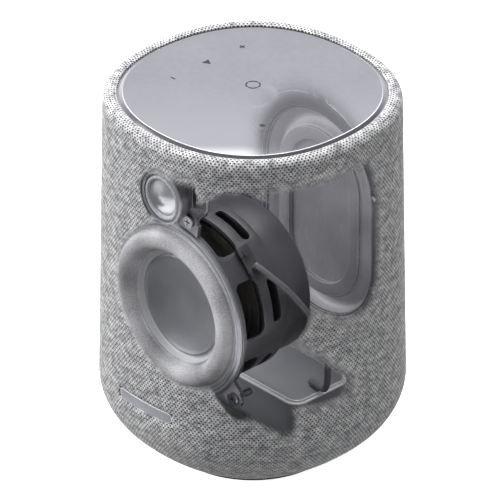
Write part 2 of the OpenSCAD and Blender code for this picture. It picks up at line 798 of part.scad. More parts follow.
module woofer_spider() {
    s = shelf_s - 1.2;
    color("#c9a24a") at_woofer() rotate_extrude() polygon(concat(
        [[coil_r + former_t + pilot, s]], wave(s, 0), [[shelf_r + 3, s], [shelf_r + 3, s + 0.7]],
        flip(wave(s, 0.7)), [[coil_r + former_t + pilot, s + 0.7]]));
}

module woofer_top_plate() {
    color("#8a8c90") at_woofer() translate([0, 0, motor_s]) tube(can_r - can_wall - 3, plate_hole_r, top_plate_t);
}

module woofer_magnet() {
    color("#2b2c2f") at_woofer() translate([0, 0, magnet_s]) tube(can_r - can_wall - 1.6, coil_r + 4.4, magnet_t);
}

module woofer_yoke() {
    color("#8a8c90") at_woofer() difference() {
        union() {
            translate([0, 0, yoke_s]) cylinder(r = can_r - can_wall - 3, h = yoke_t);
            translate([0, 0, motor_s - 1]) cylinder(r = pole_r, h = yoke_s - motor_s + 1.5);
        }
        translate([0, 0, motor_s - 2]) cylinder(r = 5, h = yoke_s - motor_s + yoke_t + 3);
    }
}

module woofer_can() {
    color("#4a4c50") at_woofer() difference() {
        union() {
            translate([0, 0, motor_s]) cylinder(r = can_r, h = can_depth - 2);
            translate([0, 0, motor_s + can_depth - 2.01]) cylinder(r1 = can_r, r2 = can_r - 2, h = 2.01);
        }
        translate([0, 0, motor_s - 1]) cylinder(r = can_r - can_wall, h = can_depth - can_wall + 1);
    }
}

terminal_angle = 45;
module woofer_terminal() {
    color("#c9a24a") at_woofer() rotate(-terminal_angle) translate([basket_r, 0, 0]) {
        translate([0, -8, 14.6]) cube([1.8, 16, 7]);
        for (y = [-4.5, 4.5]) {
            translate([1.8, y, 18]) rotate([0, 90, 0]) cylinder(r = 1.8, h = 1);
            translate([1.8, y - 1.2, 14]) cube([0.6, 2.4, 3]);
        }
    }
}

module woofer_screws() {
    color("#d4d6d8") at_lugs(flange_y) screw(3.2, 1.8, screw_r, 10);
}

// ---- tweeter ----
tweeter_y = baffle_y - 12.4;    // front of the face ring
motor_depth = 8.4;
plate_t = 1.4;
bracket_w = 40;
bracket_low = tweeter_z - 4.8;
bracket_high = cabinet_high - 3;
dome_travel = 0.3;

module at_tweeter() {
    translate([0, tweeter_y, tweeter_z]) rotate([-90, 0, 0]) children();
}

module tweeter_face_ring() {
    color("#54565a") at_tweeter() rotate_extrude() polygon([
        [dome_r + 2.9, 1.6], [dome_r + 2.9, 0.4], [tweeter_r - 1.0, 0], [tweeter_r - 0.4, 0.3],
        [tweeter_r - 0.4, 0.8], [tweeter_r, 0.9], [tweeter_r, 1.6]]);
}

module tweeter_surround() {
    color("#6d6f73") at_tweeter() translate([0, 0, 1.5])
        roll(dome_r + 2.3, dome_r + 0.4, 0.8, 0.25, 0, 0.5, 0.35);
}

module tweeter_dome() {
    ball = 11.5;
    base = sqrt(ball * ball - dome_r * dome_r);
    function cap(t, edge) = [for (i = [0:12]) let (r = edge * i / 12)
        [r, 1.5 - (sqrt(pow(ball - t, 2) - r * r) - base)]];
    color("#c4c6c9") at_tweeter() rotate_extrude() polygon(concat(
        cap(0, dome_r), flip(cap(0.3, dome_r - 0.1))));
}

module tweeter_coil() {
    color("#c07840") at_tweeter() translate([0, 0, 1.87]) tube(dome_r - 0.1, dome_r - 0.5, 3.2);
}

module tweeter_motor() {
    color("#35373a") at_tweeter() difference() {
        translate([0, 0, 1.65]) cylinder(r = tweeter_r - 1, h = motor_depth - 1.65);
        difference() {
            translate([0, 0, 0]) cylinder(r = dome_r + 0.3, h = 6);
            translate([0, 0, 2.2]) cylinder(r = dome_r - 0.9, h = 5);
        }
        translate([0, 0, 1]) tube(dome_r + 2.9, dome_r + 0.2, 1.2);
    }
}

module tweeter_bracket() {
    height = bracket_high - bracket_low;
    mid = (bracket_high + bracket_low) / 2;
    color("#85878b") difference() {
        union() {
            reach_back(baffle_y - plate_t, plate_t) translate([0, mid]) round_rect(bracket_w, height, 3);
            reach_back(tweeter_y + motor_depth, 12.4 - motor_depth - plate_t + 0.1)
                translate([0, (bracket_low + tweeter_z + 9) / 2])
                    square([20, tweeter_z + 9 - bracket_low], center = true);
        }
        reach_back(baffle_y - plate_t - 1, plate_t + 2) for (x = [-1, 1]) {
            translate([x * tweeter_hole_x, tweeter_hole_z]) circle(1.5);
            translate([x * tweeter_hole_x, tweeter_hole_z - 6]) square([4, 4], center = true);
        }
    }
}

module tweeter_screws() {
    color("#d4d6d8") at_tweeter_screws(baffle_y - plate_t) screw(2.4, 1.4, 1.2, 8);
}

// ---- passive radiator ----
frame_t = 2.5;
frame_r = radiator_r + 8.6;
frame_y = rear_in_y - frame_t;
radiator_in_r = radiator_r - radiator_roll;
recess_r = radiator_in_r - 6.4;
tab_z = radiator_straight / 2 + frame_r + 2.4;
radiator_travel = 6;

module racetrack(r, straight = radiator_straight) {
    translate([0, radiator_z]) {
        square([2 * r, straight], center = true);
        for (s = [-1, 1]) translate([0, s * straight / 2]) circle(r);
    }
}

module at_radiator_screws() {
    for (s = [-1, 1]) {
        translate([0, frame_y, radiator_z + s * tab_z]) rotate([-90, 0, 0]) children();
        for (x = [-1, 1]) translate([x * (frame_r - 4), frame_y, radiator_z + s * 25.5])
            rotate([-90, 0, 0]) children();
    }
}

module radiator_frame() {
    color("#77797d") difference() {
        reach_back(frame_y, frame_t) {
            racetrack(frame_r);
            for (s = [-1, 1]) translate([0, radiator_z + s * (tab_z - 2)]) round_rect(13, 12, 3);
        }
        reach_back(frame_y - 1, frame_t + 2) racetrack(radiator_r - 0.4);
        reach_back(frame_y - 1, 2) racetrack(radiator_r + 1.2);
        at_radiator_screws() translate([0, 0, -1]) cylinder(r = screw_r + 0.3, h = 6);
    }
}

// ring of the radiator's cross-section swept round its racetrack; points are [outset, y]
function race_point(r, i, n) = let (t = 360 * i / n, s = sin(t) >= 0 ? 1 : -1)
    [r * cos(t), radiator_z + s * radiator_straight / 2 + r * sin(t)];

module radiator_surround() {
    n = 48;
    t = 0.8;
    out = [for (i = [0:8]) let (q = 180 * i / 8)
        [radiator_r - radiator_roll / 2 + (radiator_roll / 2 - 0.4) * cos(q), 4.6 * sin(q)]];
    top = [for (p = out) [p[0] + (p[0] > radiator_r - radiator_roll / 2 ? 0.5 : -0.5), p[1] + t]];
    loop = concat([[radiator_r + 2.2, 0]], out, [[radiator_in_r - 1.4, 0], [radiator_in_r - 1.4, t]],
        flip(top), [[radiator_r + 2.2, t]]);
    m = len(loop);
    color("#b4b6b9") translate([0, rear_in_y + 0.02, 0]) polyhedron(
        [for (i = [0:n - 1]) for (p = loop) let (q = race_point(p[0], i + 0.5, n)) [q[0], p[1], q[1]]],
        [for (i = [0:n - 1]) for (j = [0:m - 1]) let (a = i * m + j, b = i * m + (j + 1) % m,
            c = ((i + 1) % n) * m + (j + 1) % m, d = ((i + 1) % n) * m + j)
            for (f = [[a, b, c], [a, c, d]]) f], convexity = 6);
}

module radiator_plate() {
    color("#9a9ca0") difference() {
        union() {
            reach_back(rear_in_y - 1.6, 1.6) racetrack(radiator_in_r);
            reach_back(rear_in_y - 1.6, 3.2) racetrack(recess_r + 1.2);
        }
        reach_back(rear_in_y - 2.6, 3) racetrack(recess_r);
    }
}

module radiator_weight() {
    color("#7b7d80") reach_back(rear_in_y + 1.6, 2.4) racetrack(recess_r - 7);
}

module radiator_screws() {
    color("#d4d6d8") at_radiator_screws() screw(3, 1.6, screw_r, frame_t + cabinet_wall - 0.4);
}

// ---- leads from the woofer's terminals down to the electronics ----
lead_r = 1.6;
lead_end_z = floor_top + cover_h + lead_r + 0.2;      // the lead's end lies on the cover
lead_route = [
    [basket_r - 6.8, -30.6, woofer_z + 30.6], [39, -27, woofer_z + 26], [45, -20, woofer_z + 17],
    [48, -8, woofer_z - 1], [47, 3, woofer_z - 23], [43, 8, lead_end_z + 13],
    [38, 11, lead_end_z + 3.6], [31, 14, lead_end_z + 0.6], [24, 15, lead_end_z]];

// smooth curve through the route's points
function bend(p, i, u) = let (
    a = p[max(i - 1, 0)], b = p[i], c = p[i + 1], d = p[min(i + 2, len(p) - 1)])
    0.5 * (2 * b + (c - a) * u + (2 * a - 5 * b + 4 * c - d) * u * u + (3 * b - a - 3 * c + d) * u * u * u);

function unit(v) = v / norm(v);

module speaker_leads() {
    steps = 4;
    sides = 8;
    path = concat([for (i = [0:len(lead_route) - 2]) for (j = [0:steps - 1]) bend(lead_route, i, j / steps)],
        [lead_route[len(lead_route) - 1]]);
    rings = len(path);
    color("#2a2b2e") polyhedron(
        [for (i = [0:rings - 1]) let (
            along = unit(path[min(i + 1, rings - 1)] - path[max(i - 1, 0)]),
            u = unit(cross(along, [0, 1, 0.2])), v = cross(along, u))
            for (j = [0:sides - 1]) path[i] + lead_r * (cos(360 * j / sides) * u + sin(360 * j / sides) * v)],
        concat(
            [[for (j = [0:sides - 1]) sides - 1 - j]], [[for (j = [0:sides - 1]) (rings - 1) * sides + j]],
            [for (i = [0:rings - 2]) for (j = [0:sides - 1]) let (
                a = i * sides + j, b = i * sides + (j + 1) % sides)
                for (f = [[a, b, b + sides], [a, b + sides, a + sides]]) f]), convexity = 6);
}

fabric_sleeve();
grille_carrier();
badge_plate();
top_panel();
panel_markings();
top_trim_ring();
top_frame();
touch_board();
light_guide();
microphones();
microphone_boots();
antennas();
cabinet_shell();
cabinet_lid();
lid_gasket();
lid_screws();
base_gasket();
base_skirt();
base_chassis();
base_screws();
rubber_foot();
electronics_cover();
power_board();
power_parts();
heat_sink();
main_board();
shield_can();
board_screws();
io_panel();
power_inlet();
inlet_pins();
service_port();
io_board();
mute_button();
woofer_basket();
woofer_trim_ring();
woofer_surround();
woofer_cone();
woofer_dish();
woofer_coil();
woofer_spider();
woofer_top_plate();
woofer_magnet();
woofer_yoke();
woofer_can();
woofer_terminal();
woofer_screws();
tweeter_face_ring();
tweeter_surround();
tweeter_dome();
tweeter_coil();
tweeter_motor();
tweeter_bracket();
tweeter_screws();
radiator_frame();
radiator_surround();
radiator_plate();
radiator_weight();
radiator_screws();
speaker_leads();
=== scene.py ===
from math import atan2, copysign, cos, hypot, pi, radians, sin, tau

import bmesh
import bpy
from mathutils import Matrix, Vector
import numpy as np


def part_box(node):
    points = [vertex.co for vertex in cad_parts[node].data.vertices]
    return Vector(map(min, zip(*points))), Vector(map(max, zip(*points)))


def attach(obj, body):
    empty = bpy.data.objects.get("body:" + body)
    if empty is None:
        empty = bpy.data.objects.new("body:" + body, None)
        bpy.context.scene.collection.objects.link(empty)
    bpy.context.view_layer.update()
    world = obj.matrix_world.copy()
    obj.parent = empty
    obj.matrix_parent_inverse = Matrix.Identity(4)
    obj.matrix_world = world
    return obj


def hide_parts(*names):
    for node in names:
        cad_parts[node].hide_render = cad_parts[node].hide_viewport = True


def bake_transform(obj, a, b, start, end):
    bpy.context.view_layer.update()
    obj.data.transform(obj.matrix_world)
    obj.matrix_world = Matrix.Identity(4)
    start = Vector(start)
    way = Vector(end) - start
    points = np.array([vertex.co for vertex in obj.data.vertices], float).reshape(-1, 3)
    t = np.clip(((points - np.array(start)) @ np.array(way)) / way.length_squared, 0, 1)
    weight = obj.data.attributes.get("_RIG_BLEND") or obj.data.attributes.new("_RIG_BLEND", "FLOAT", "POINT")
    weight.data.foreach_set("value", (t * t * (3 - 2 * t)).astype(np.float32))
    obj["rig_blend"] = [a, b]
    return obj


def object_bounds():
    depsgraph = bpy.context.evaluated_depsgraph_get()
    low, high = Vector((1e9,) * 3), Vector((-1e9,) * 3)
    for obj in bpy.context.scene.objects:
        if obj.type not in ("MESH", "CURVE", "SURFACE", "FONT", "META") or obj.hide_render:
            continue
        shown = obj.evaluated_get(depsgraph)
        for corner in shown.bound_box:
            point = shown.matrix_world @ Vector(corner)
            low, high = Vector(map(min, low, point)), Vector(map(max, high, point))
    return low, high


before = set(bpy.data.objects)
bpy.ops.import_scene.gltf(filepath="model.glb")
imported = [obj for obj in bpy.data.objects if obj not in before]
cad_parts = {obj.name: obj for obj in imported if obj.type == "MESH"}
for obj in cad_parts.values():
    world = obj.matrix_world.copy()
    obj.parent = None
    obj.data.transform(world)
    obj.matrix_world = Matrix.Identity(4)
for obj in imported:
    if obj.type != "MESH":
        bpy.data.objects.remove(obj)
cad_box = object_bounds()
MM = 0.001

# ---- Rubber foot ----
# The foot is one soft ring of moulded rubber with fine grip ribs. It is pressed on
# to the underside of the base and held by four screws from below.


def linear(colour):
    """A paint-chip colour such as "a0b0c0" as the linear light that a shader works in."""
    parts = [int(colour[i : i + 2], 16) / 255 for i in (0, 2, 4)]
    return [p / 12.92 if p <= 0.04045 else ((p + 0.055) / 1.055) ** 2.4 for p in parts] + [1]


def feed(material, node, sockets):
    """Sets a node's input sockets to values, or links them to the outputs that drive them."""
    for key, value in sockets.items():
        if isinstance(value, bpy.types.NodeSocket):
            material.node_tree.links.new(value, node.inputs[key])
        else:
            node.inputs[key].default_value = value


def add(material, kind, sockets={}, output=0, **settings):
    """Adds a shader node with its settings and its inputs, and gives back one of its outputs."""
    node = material.node_tree.nodes.new("ShaderNode" + kind)
    for key, value in settings.items():
        setattr(node, key, value)
    feed(material, node, sockets)
    return node.outputs[output]


def surface(name, light, dark, metallic, rough, grain, relief, stretch=(1, 1, 1), tints=0.3):
    """A finish whose colour, gloss and relief follow a grain of that size in millimetres."""
    material = bpy.data.materials.new(name)
    material.use_nodes = True
    place = add(material, "TexCoord", output="Object")
    along = add(material, "Mapping", {"Vector": place, "Scale": stretch})
    grit = add(material, "TexNoise", {"Vector": along, "Scale": 1 / (grain * MM), "Detail": 3.0})
    cloud = add(material, "TexNoise", {"Vector": place, "Scale": 1 / (20 * MM), "Detail": 1.0})
    mottle = add(material, "Math", {0: grit, 1: cloud}, operation="ADD")
    tint = add(material, "MapRange", {"Value": mottle, "From Min": 1 - tints, "From Max": 1 + tints})
    colour = add(material, "Mix", {0: tint, 6: linear(dark), 7: linear(light)}, 2, data_type="RGBA")
    gloss = add(material, "MapRange", {"Value": grit, "To Min": rough - 0.1, "To Max": rough + 0.1})
    bump = add(material, "Bump", {"Height": grit, "Distance": relief * MM})
    shader = material.node_tree.nodes["Principled BSDF"]
    shader.inputs["Metallic"].default_value = metallic
    feed(material, shader, {"Base Color": colour, "Roughness": gloss, "Normal": bump})
    return material


def finished(name, bm, material, body, slot, *stands_for, crease=32, edge=None):
    """Makes a piece from its bmesh, smooth except at creases, and hangs it on its body."""
    mesh = bpy.data.meshes.new(name)
    bm.to_mesh(mesh)
    bm.free()
    mesh.shade_smooth()
    mesh.set_sharp_from_angle(angle=radians(crease))
    mesh.materials.append(material)
    if edge:
        mesh.materials.append(edge)
    piece = bpy.data.objects.new(name, mesh)
    bpy.context.scene.collection.objects.link(piece)
    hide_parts(*stands_for)
    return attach(piece, body) if body else piece


def softened(node, material, body, slot, rounding, edge=None, angle=40, crease=32):
    """A copy of a CAD node, its triangles merged into faces and its sharp edges rounded off."""
    bm = bmesh.new()
    bm.from_mesh(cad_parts[node].data)
    bmesh.ops.remove_doubles(bm, verts=bm.verts, dist=0.002 * MM)
    if rounding:
        bmesh.ops.dissolve_limit(bm, angle_limit=radians(0.6), verts=bm.verts, edges=bm.edges)
        sharp = [e for e in bm.edges if len(e.link_faces) == 2 and e.calc_face_angle() > radians(angle)]
        # When an edge material is given, the rounding's faces take it; the edge materials given here are
        # painted highlights
        bmesh.ops.bevel(bm, geom=sharp, offset=rounding * MM, offset_type="OFFSET", segments=2,
                        profile=0.5, affect="EDGES", material=1 if edge else -1, clamp_overlap=True)
        bmesh.ops.triangulate(bm, faces=[f for f in bm.faces if len(f.verts) > 4])
    return finished(node + "_softened", bm, material, body, slot, node, crease=crease, edge=edge)


# Dull grey-black rubber: no highlight, only a faint bloom in the hollows
foot_rubber = surface("moulded_rubber", "2c2c2e", "1c1c1e", 0, 0.85, 0.4, 0.02)
softened("rubber_foot", foot_rubber, "cabinet", "foot_rubber", 0.2)

# ---- Base: chassis, skirt and gasket ----
# The base is moulded ABS: a floor plate with bosses, and a flared skirt round it that
# carries the cabinet. Twelve zinc-plated screws hold floor, skirt and foot together.

# Fine spark-eroded texture that breaks the highlight into an even satin grey
base_plastic = surface("textured_grey_abs", "6c6c72", "56565b", 0, 0.5, 0.5, 0.02)
# Pan-head screws, bright with faint turning marks
screw_steel = surface("zinc_plated_steel", "d4d4d8", "9a9aa0", 1, 0.3, 0.3, 0.005)
# Closed-cell foam, matt and slightly pitted
foam_rubber = surface("foam_rubber", "29292b", "151516", 0, 0.9, 0.6, 0.05)
softened("base_chassis", base_plastic, "cabinet", "base_plastic", 0)
softened("base_skirt", base_plastic, "cabinet", "base_plastic", 0)
softened("base_gasket", foam_rubber, "cabinet", "seal_rubber", 0)
softened("base_screws", screw_steel, "cabinet", "screw_steel", 0)

# ---- Circuit boards in the base ----
# Two glass-fibre boards with a green solder mask: mains power at the rear, the main
# processor board at the front. Both sit on bosses and are screwed down at the corners.

# Solder mask over woven glass: semi-gloss with a faint cloth print-through
board_green = surface("solder_masked_glass_fibre", "2a3530", "1e2824", 0, 0.35, 0.8, 0.01)
# Moulded component bodies, satin black
component_plastic = surface("moulded_epoxy", "3a3a3d", "242427", 0, 0.5, 0.4, 0.01)
# Extruded fins with lengthwise die lines
heat_sink = surface("extruded_aluminium", "c4c5c9", "94959a", 1, 0.38, 0.4, 0.01, (1, 0.1, 1))
# Pressed tin-plated cans, soft mirror
plated_steel = surface("tin_plated_steel", "cfcfd2", "a8a8ac", 1, 0.32, 1.2, 0.004)
softened("power_board", board_green, "cabinet", "board", 0.1)
softened("power_parts", component_plastic, "cabinet", "component_plastic", 0.3)
softened("heat_sink", heat_sink, "cabinet", "heat_sink_aluminium", 0.1)
softened("main_board", board_green, "cabinet", "board", 0)
softened("shield_can", plated_steel, "cabinet", "can_metal", 0.3)
softened("board_screws", screw_steel, "cabinet", "screw_steel", 0)

# ---- Electronics cover ----
# A moulded ABS hood with a drawn round edge keeps the mains parts apart from the
# cabinet. It drops over the power board and is open at the front for one flat cable.

# Satin mid grey, and a painted highlight along its edge: the rounded edge takes a near-white copy of the
# same plastic
cover_plastic = surface("satin_grey_abs", "7c7d82", "707176", 0, 0.42, 0.5, 0.01)
cover_edge_highlight = surface("abs_edge_painted_highlight", "d6d6da", "c2c2c8", 0, 0.3, 0.5, 0.004)
softened("electronics_cover", cover_plastic, "cabinet", "base_plastic", 1.2, cover_edge_highlight)

# ---- Rear connector panel ----
# A small ABS plate with a recessed mains inlet, a service port and a push button that
# mutes the microphones. The plate clips into the cloth's rear opening.

# Black ABS with a fine even grain
panel_plastic = surface("grained_black_abs", "2b2b2e", "1d1d20", 0, 0.5, 0.4, 0.015)
# Nylon socket, smoother and deeper black
socket_nylon = surface("moulded_nylon", "1c1c1e", "101012", 0, 0.42, 0.5, 0.006)
# Turned brass pins, tin flashed
pin_brass = surface("plated_brass", "d8c48a", "b8a062", 1, 0.28, 0.3, 0.003)
# Pressed ABS button, a little lighter than the plate
button_plastic = surface("satin_button_abs", "4a4a4e", "3c3c40", 0, 0.4, 0.4, 0.008)
softened("io_panel", panel_plastic, "cabinet", "trim_plastic", 0.25)
softened("power_inlet", socket_nylon, "cabinet", "socket_plastic", 0.2)
softened("inlet_pins", pin_brass, "cabinet", "pin_brass", 0.1)
softened("service_port", plated_steel, "cabinet", "can_metal", 0.1)
softened("io_board", board_green, "cabinet", "board", 0)
softened("mute_button", button_plastic, "mute_button_body", "button_plastic", 0.3)

# ---- Cabinet shell and lid ----
# The sealed box is one ABS moulding with a flat baffle at the front and a flat rear wall,
# closed by a screwed lid. The half towards the viewer's side is shown cut away.

VIEW_TURN, VIEW_TILT = radians(47), radians(30.39)
sight = Vector((sin(VIEW_TURN) * cos(VIEW_TILT), -cos(VIEW_TURN) * cos(VIEW_TILT), sin(VIEW_TILT)))


def fade(material, value, low, high):
    """Rises smoothly from 0 at low to 1 at high, both in metres."""
    return add(material, "MapRange", {"Value": value, "From Min": low, "From Max": high},
               interpolation_type="SMOOTHSTEP")


def in_front(material, margin=0.0, level=0.09):
    """1 on the near side of a slanted cut through the cabinet's axis, 0 behind it."""
    place = add(material, "TexCoord", output="Object")
    depth = add(material, "VectorMath", {0: place, 1: sight}, "Value", operation="DOT_PRODUCT")
    cut = sight.z * level + margin
    return fade(material, depth, cut - 0.004, cut + 0.004)


def behind_cut(material):
    """1 on the far side of the slanted cut, 0 in front of it."""
    return add(material, "Math", {0: 1.0, 1: in_front(material)}, operation="SUBTRACT")


def lets_light_in(*skins):
    """The skins are drawn back, so what lies inside them is lit as if it stood in the open."""
    for skin in skins:
        skin.visible_shadow = skin.visible_diffuse = False


# Mid-grey ABS, dull inside; the near half is cut away along the slanted plane
cabinet_plastic = surface("moulded_cabinet_abs", "55555a", "47474c", 0, 0.6, 0.6, 0.02)
place = add(cabinet_plastic, "TexCoord", output="Object")
depth = add(cabinet_plastic, "SeparateXYZ", {0: place}, "Y")
ahead = add(cabinet_plastic, "Math", {0: 1.0, 1: fade(cabinet_plastic, depth, 0.0405, 0.0435)},
            operation="SUBTRACT")
cut_away = add(cabinet_plastic, "Math", {0: in_front(cabinet_plastic), 1: ahead}, operation="MULTIPLY")
kept = add(cabinet_plastic, "Math", {0: 1.0, 1: cut_away}, operation="SUBTRACT")
feed(cabinet_plastic, cabinet_plastic.node_tree.nodes["Principled BSDF"], {"Alpha": kept})
lets_light_in(softened("cabinet_shell", cabinet_plastic, "cabinet", "cabinet_plastic", 0, crease=25),
              softened("cabinet_lid", cabinet_plastic, "cabinet", "cabinet_plastic", 0))
# The lid's foam seal and screws are cut away with it
lid_foam = surface("lid_foam_rubber", "29292b", "151516", 0, 0.9, 0.6, 0.05)
lid_steel = surface("lid_screw_steel", "d4d4d8", "9a9aa0", 1, 0.3, 0.3, 0.005)
for fitting in (lid_foam, lid_steel):
    feed(fitting, fitting.node_tree.nodes["Principled BSDF"], {"Alpha": behind_cut(fitting)})
softened("lid_gasket", lid_foam, "cabinet", "seal_rubber", 0)
softened("lid_screws", lid_steel, "cabinet", "screw_steel", 0)

# ---- Passive radiator ----
# A heavy flat diaphragm in a racetrack-shaped rubber roll, screwed into the rear wall.
# It has no motor: the air in the sealed box drives it, and a steel weight tunes it.
frame_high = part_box("radiator_frame")[1]
plate_low, plate_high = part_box("radiator_plate")
radiator_centre = Vector((0, frame_high.y, (plate_low.z + plate_high.z) / 2))
plate_radius = (plate_high.x - plate_low.x) / 2 / MM
straight = (plate_high.z - plate_low.z) / MM - 2 * plate_radius


def swept(profile, centre, run=0.0, steps=96, rounding=0.2, closed=True):
    """Turns a profile of (radius, rearwards) millimetres about a driver's axis. With a run it
    makes a racetrack: half a turn, a straight, half a turn and a straight back."""
    bm = bmesh.new()
    top = centre + Vector((0, 0, run * MM / 2))
    points = [bm.verts.new(top + Vector((r * MM, s * MM, 0))) for r, s in profile]
    for pair in zip(points, points[1:] + points[:1] if closed else points[1:]):
        bm.edges.new(pair)
    if rounding:
        bmesh.ops.bevel(bm, geom=bm.verts[:] + bm.edges[:], offset=rounding * MM, segments=3,
                        offset_type="OFFSET", profile=0.5, affect="VERTICES", material=-1,
                        clamp_overlap=True)
    if run:
        last = bm.verts[:] + bm.edges[:]
        for middle, way in ((top, -1), (top - Vector((0, 0, run * MM)), 1)):
            turned = bmesh.ops.spin(bm, geom=last, cent=middle, axis=(0, 1, 0), angle=-pi,
                                    steps=steps // 2)["geom_last"]
            edges = [e for e in turned if isinstance(e, bmesh.types.BMEdge)]
            last = bmesh.ops.extrude_edge_only(bm, edges=edges)["geom"]
            moved = [v for v in last if isinstance(v, bmesh.types.BMVert)]
            bmesh.ops.translate(bm, verts=moved, vec=(0, 0, way * run * MM))
            last = [g for g in last if not isinstance(g, bmesh.types.BMFace)]
    else:
        bmesh.ops.spin(bm, geom=bm.verts[:] + bm.edges[:], cent=centre, axis=(0, 1, 0), angle=tau,
                       steps=steps, use_merge=True)
    bmesh.ops.remove_doubles(bm, verts=bm.verts, dist=0.002 * MM)
    bmesh.ops.recalc_face_normals(bm, faces=bm.faces)
    return bm


def half_roll(outer, inner, height, thick, land_out, land_in, drop=0.0, arcs=24):
    """Closed profile of a half-round roll with a flat land at each side, in millimetres."""
    def curve(inset):
        a, b = outer - inset, inner + inset
        return [((a + b) / 2 + (a - b) / 2 * cos(pi * i / arcs),
                 drop * i / arcs - (height - inset) * sin(pi * i / arcs)) for i in range(arcs + 1)]
    back = [(outer + land_out, 0), (outer + land_out, -thick)]
    front = [(inner - land_in, drop - thick), (inner - land_in, drop)]
    return back + [(r, s - thick) for r, s in curve(0)] + front + curve(thick)[::-1]


def flexing(piece, mover, outer, inner, centre, run=0.0):
    """The piece stays with the cabinet at its outer radius and follows the mover at its inner."""
    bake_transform(piece, "cabinet", mover, centre, centre + Vector((0, 0.01, 0)))
    weights = piece.data.attributes["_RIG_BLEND"].data
    for vertex, weight in zip(piece.data.vertices, weights):
        x, z = vertex.co.x - centre.x, vertex.co.z - centre.z
        z = copysign(max(abs(z) - run * MM / 2, 0), z)
        t = min(max((outer - hypot(x, z) / MM) / (outer - inner), 0), 1)
        weight.value = t * t * (3 - 2 * t)


# Glass-filled frame, dark and faintly grained
frame_plastic = surface("glass_filled_nylon", "626268", "505056", 0, 0.5, 0.5, 0.02)
# Butyl rubber roll with a matt bloom; the moulded top of the roll is a little lighter
roll_rubber = surface("moulded_butyl_rubber", "d8d8dc", "b0b0b5", 0, 0.42, 0.35, 0.02)
# Brushed and clear-coated aluminium sheet in the pan of the diaphragm
radiator_metal = surface("coated_aluminium_sheet", "aeaeb4", "98989e", 0.3, 0.45, 0.5, 0.01, (1, 1, 0.1))
# Painted highlight: a near-white colour on the rounded edges of the radiator's frame and pan, the woofer's
# can and the badge
metal_edge_highlight = surface("metal_edge_painted_highlight", "e2e2e6", "c4c4ca", 0.5, 0.3, 0.4, 0.004)
softened("radiator_frame", frame_plastic, "cabinet", "frame_plastic", 0.3, metal_edge_highlight)
roll_outer, roll_inner = 36.4, plate_radius + 0.4
roll = swept(half_roll(roll_outer, roll_inner, 4.6, 0.8, 2.1, 1.6), radiator_centre, straight, rounding=0)
for vertex in roll.verts:
    vertex.co.y = 2 * radiator_centre.y - vertex.co.y
bmesh.ops.recalc_face_normals(roll, faces=roll.faces)
radiator_roll = finished("radiator_roll", roll, roll_rubber, None, "roll_rubber", "radiator_surround")
flexing(radiator_roll, "radiator_body", roll_outer, roll_inner, radiator_centre, straight)
# The pan's rounded edge carries the painted highlight
softened("radiator_plate", radiator_metal, "radiator_body", "radiator_metal", 0.3, metal_edge_highlight)
softened("radiator_weight", screw_steel, "radiator_body", "plate_steel", 0.4)
softened("radiator_screws", screw_steel, "cabinet", "screw_steel", 0)

# ---- Woofer ----
# A 90 mm driver: a painted pressed-steel basket screwed to the baffle by three lugs, a
# shielded ferrite motor in a drawn can, and a fibre cone with an aluminium dish on it.
can_low, can_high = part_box("woofer_can")
basket_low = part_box("woofer_basket")[0]
woofer = Vector((0, basket_low.y, (can_low.z + can_high.z) / 2))

# Powder-coated steel: near black in the windows and satin on the ribs. Its paler flange is painted light,
# and its rounded edges carry a painted highlight in a near-white copy of the coat
basket_paint = surface("powder_coated_steel", "4a4a4f", "3a3a3f", 0, 0.45, 0.4, 0.02)
coat_edge_highlight = surface("coated_steel_edge_painted_highlight", "c8c8cc", "a8a8ae", 0.3, 0.35, 0.4, 0.004)
flange_painted_light = surface("coated_flange_painted_light", "8d8d92", "7c7c82", 0.1, 0.4, 0.4, 0.01)
basket = softened("woofer_basket", basket_paint, "cabinet", "basket_paint", 0.5, coat_edge_highlight)
basket.data.materials.append(flange_painted_light)
# Painted light: the basket's forward-facing front faces take a paler copy of the same coat
for polygon in basket.data.polygons:
    if polygon.normal.y < -0.9 and polygon.center.y < woofer.y + 0.3 * MM:
        polygon.material_index = 2
# Zinc die-cast ring, fine blasted and lacquered
ring_metal = surface("lacquered_zinc", "9a9ba0", "808187", 0.4, 0.38, 0.3, 0.01)
ring_profile = [(41.1, 0), (41.1, -1.3), (41.7, -1.6), (42.6, -1.6), (42.9, -1.0), (43.2, -1.0),
                (43.5, -1.6), (44.2, -1.4), (44.8, -0.8), (44.8, 0)]
finished("woofer_trim", swept(ring_profile, woofer, steps=192, rounding=0.12), ring_metal, "cabinet",
         "ring_paint", "woofer_trim_ring")
# Cast rubber roll, speckled where talc was left from the mould
speckled_rubber = surface("talced_rubber", "e0e0e4", "909095", 0, 0.6, 0.5, 0.03, tints=0.25)
roll = swept(half_roll(39.4, 29.1, 5, 0.8, 1.5, 1, 0.2), woofer, steps=192, rounding=0)
woofer_roll = finished("woofer_roll", roll, speckled_rubber, None, "roll_rubber", "woofer_surround")
flexing(woofer_roll, "woofer_cone_body", 39.4, 29.1, woofer)
# Pressed paper and glass fibre cone with a pale lacquer
cone_fibre = surface("pressed_fibre", "e0e0e3", "cacacf", 0, 0.55, 0.5, 0.02)
cone_profile = [(28.9, 0.22), (28.9, 1), (28.6, 1), (28.3, 3.8), (24.7, 4.2), (17.2, 11), (17.2, 13),
                (16.4, 13), (16.4, 10.6), (24.1, 3), (27.5, 3), (27.9, 0.22)]
finished("woofer_cone_shell", swept(cone_profile, woofer, steps=160, rounding=0.2), cone_fibre,
         "woofer_cone_body", "cone_fibre", "woofer_cone")
# Anodised aluminium dish, softly blasted so the light pools low in it
dish_metal = surface("blasted_anodised_aluminium", "a2a3a8", "86878c", 0.7, 0.45, 0.3, 0.012)
ball = (24.7 * 24.7 + 5.5 * 5.5) / (2 * 5.5)


def dish_curve(back):
    """Hollow spherical curve of the dish from its axis out, as (radius, rearwards)."""
    radii = [24 * i / 20 for i in range(21)]
    return [(r, 2.1 + 5.5 - (ball - (ball * ball - r * r) ** 0.5) + back) for r in radii]


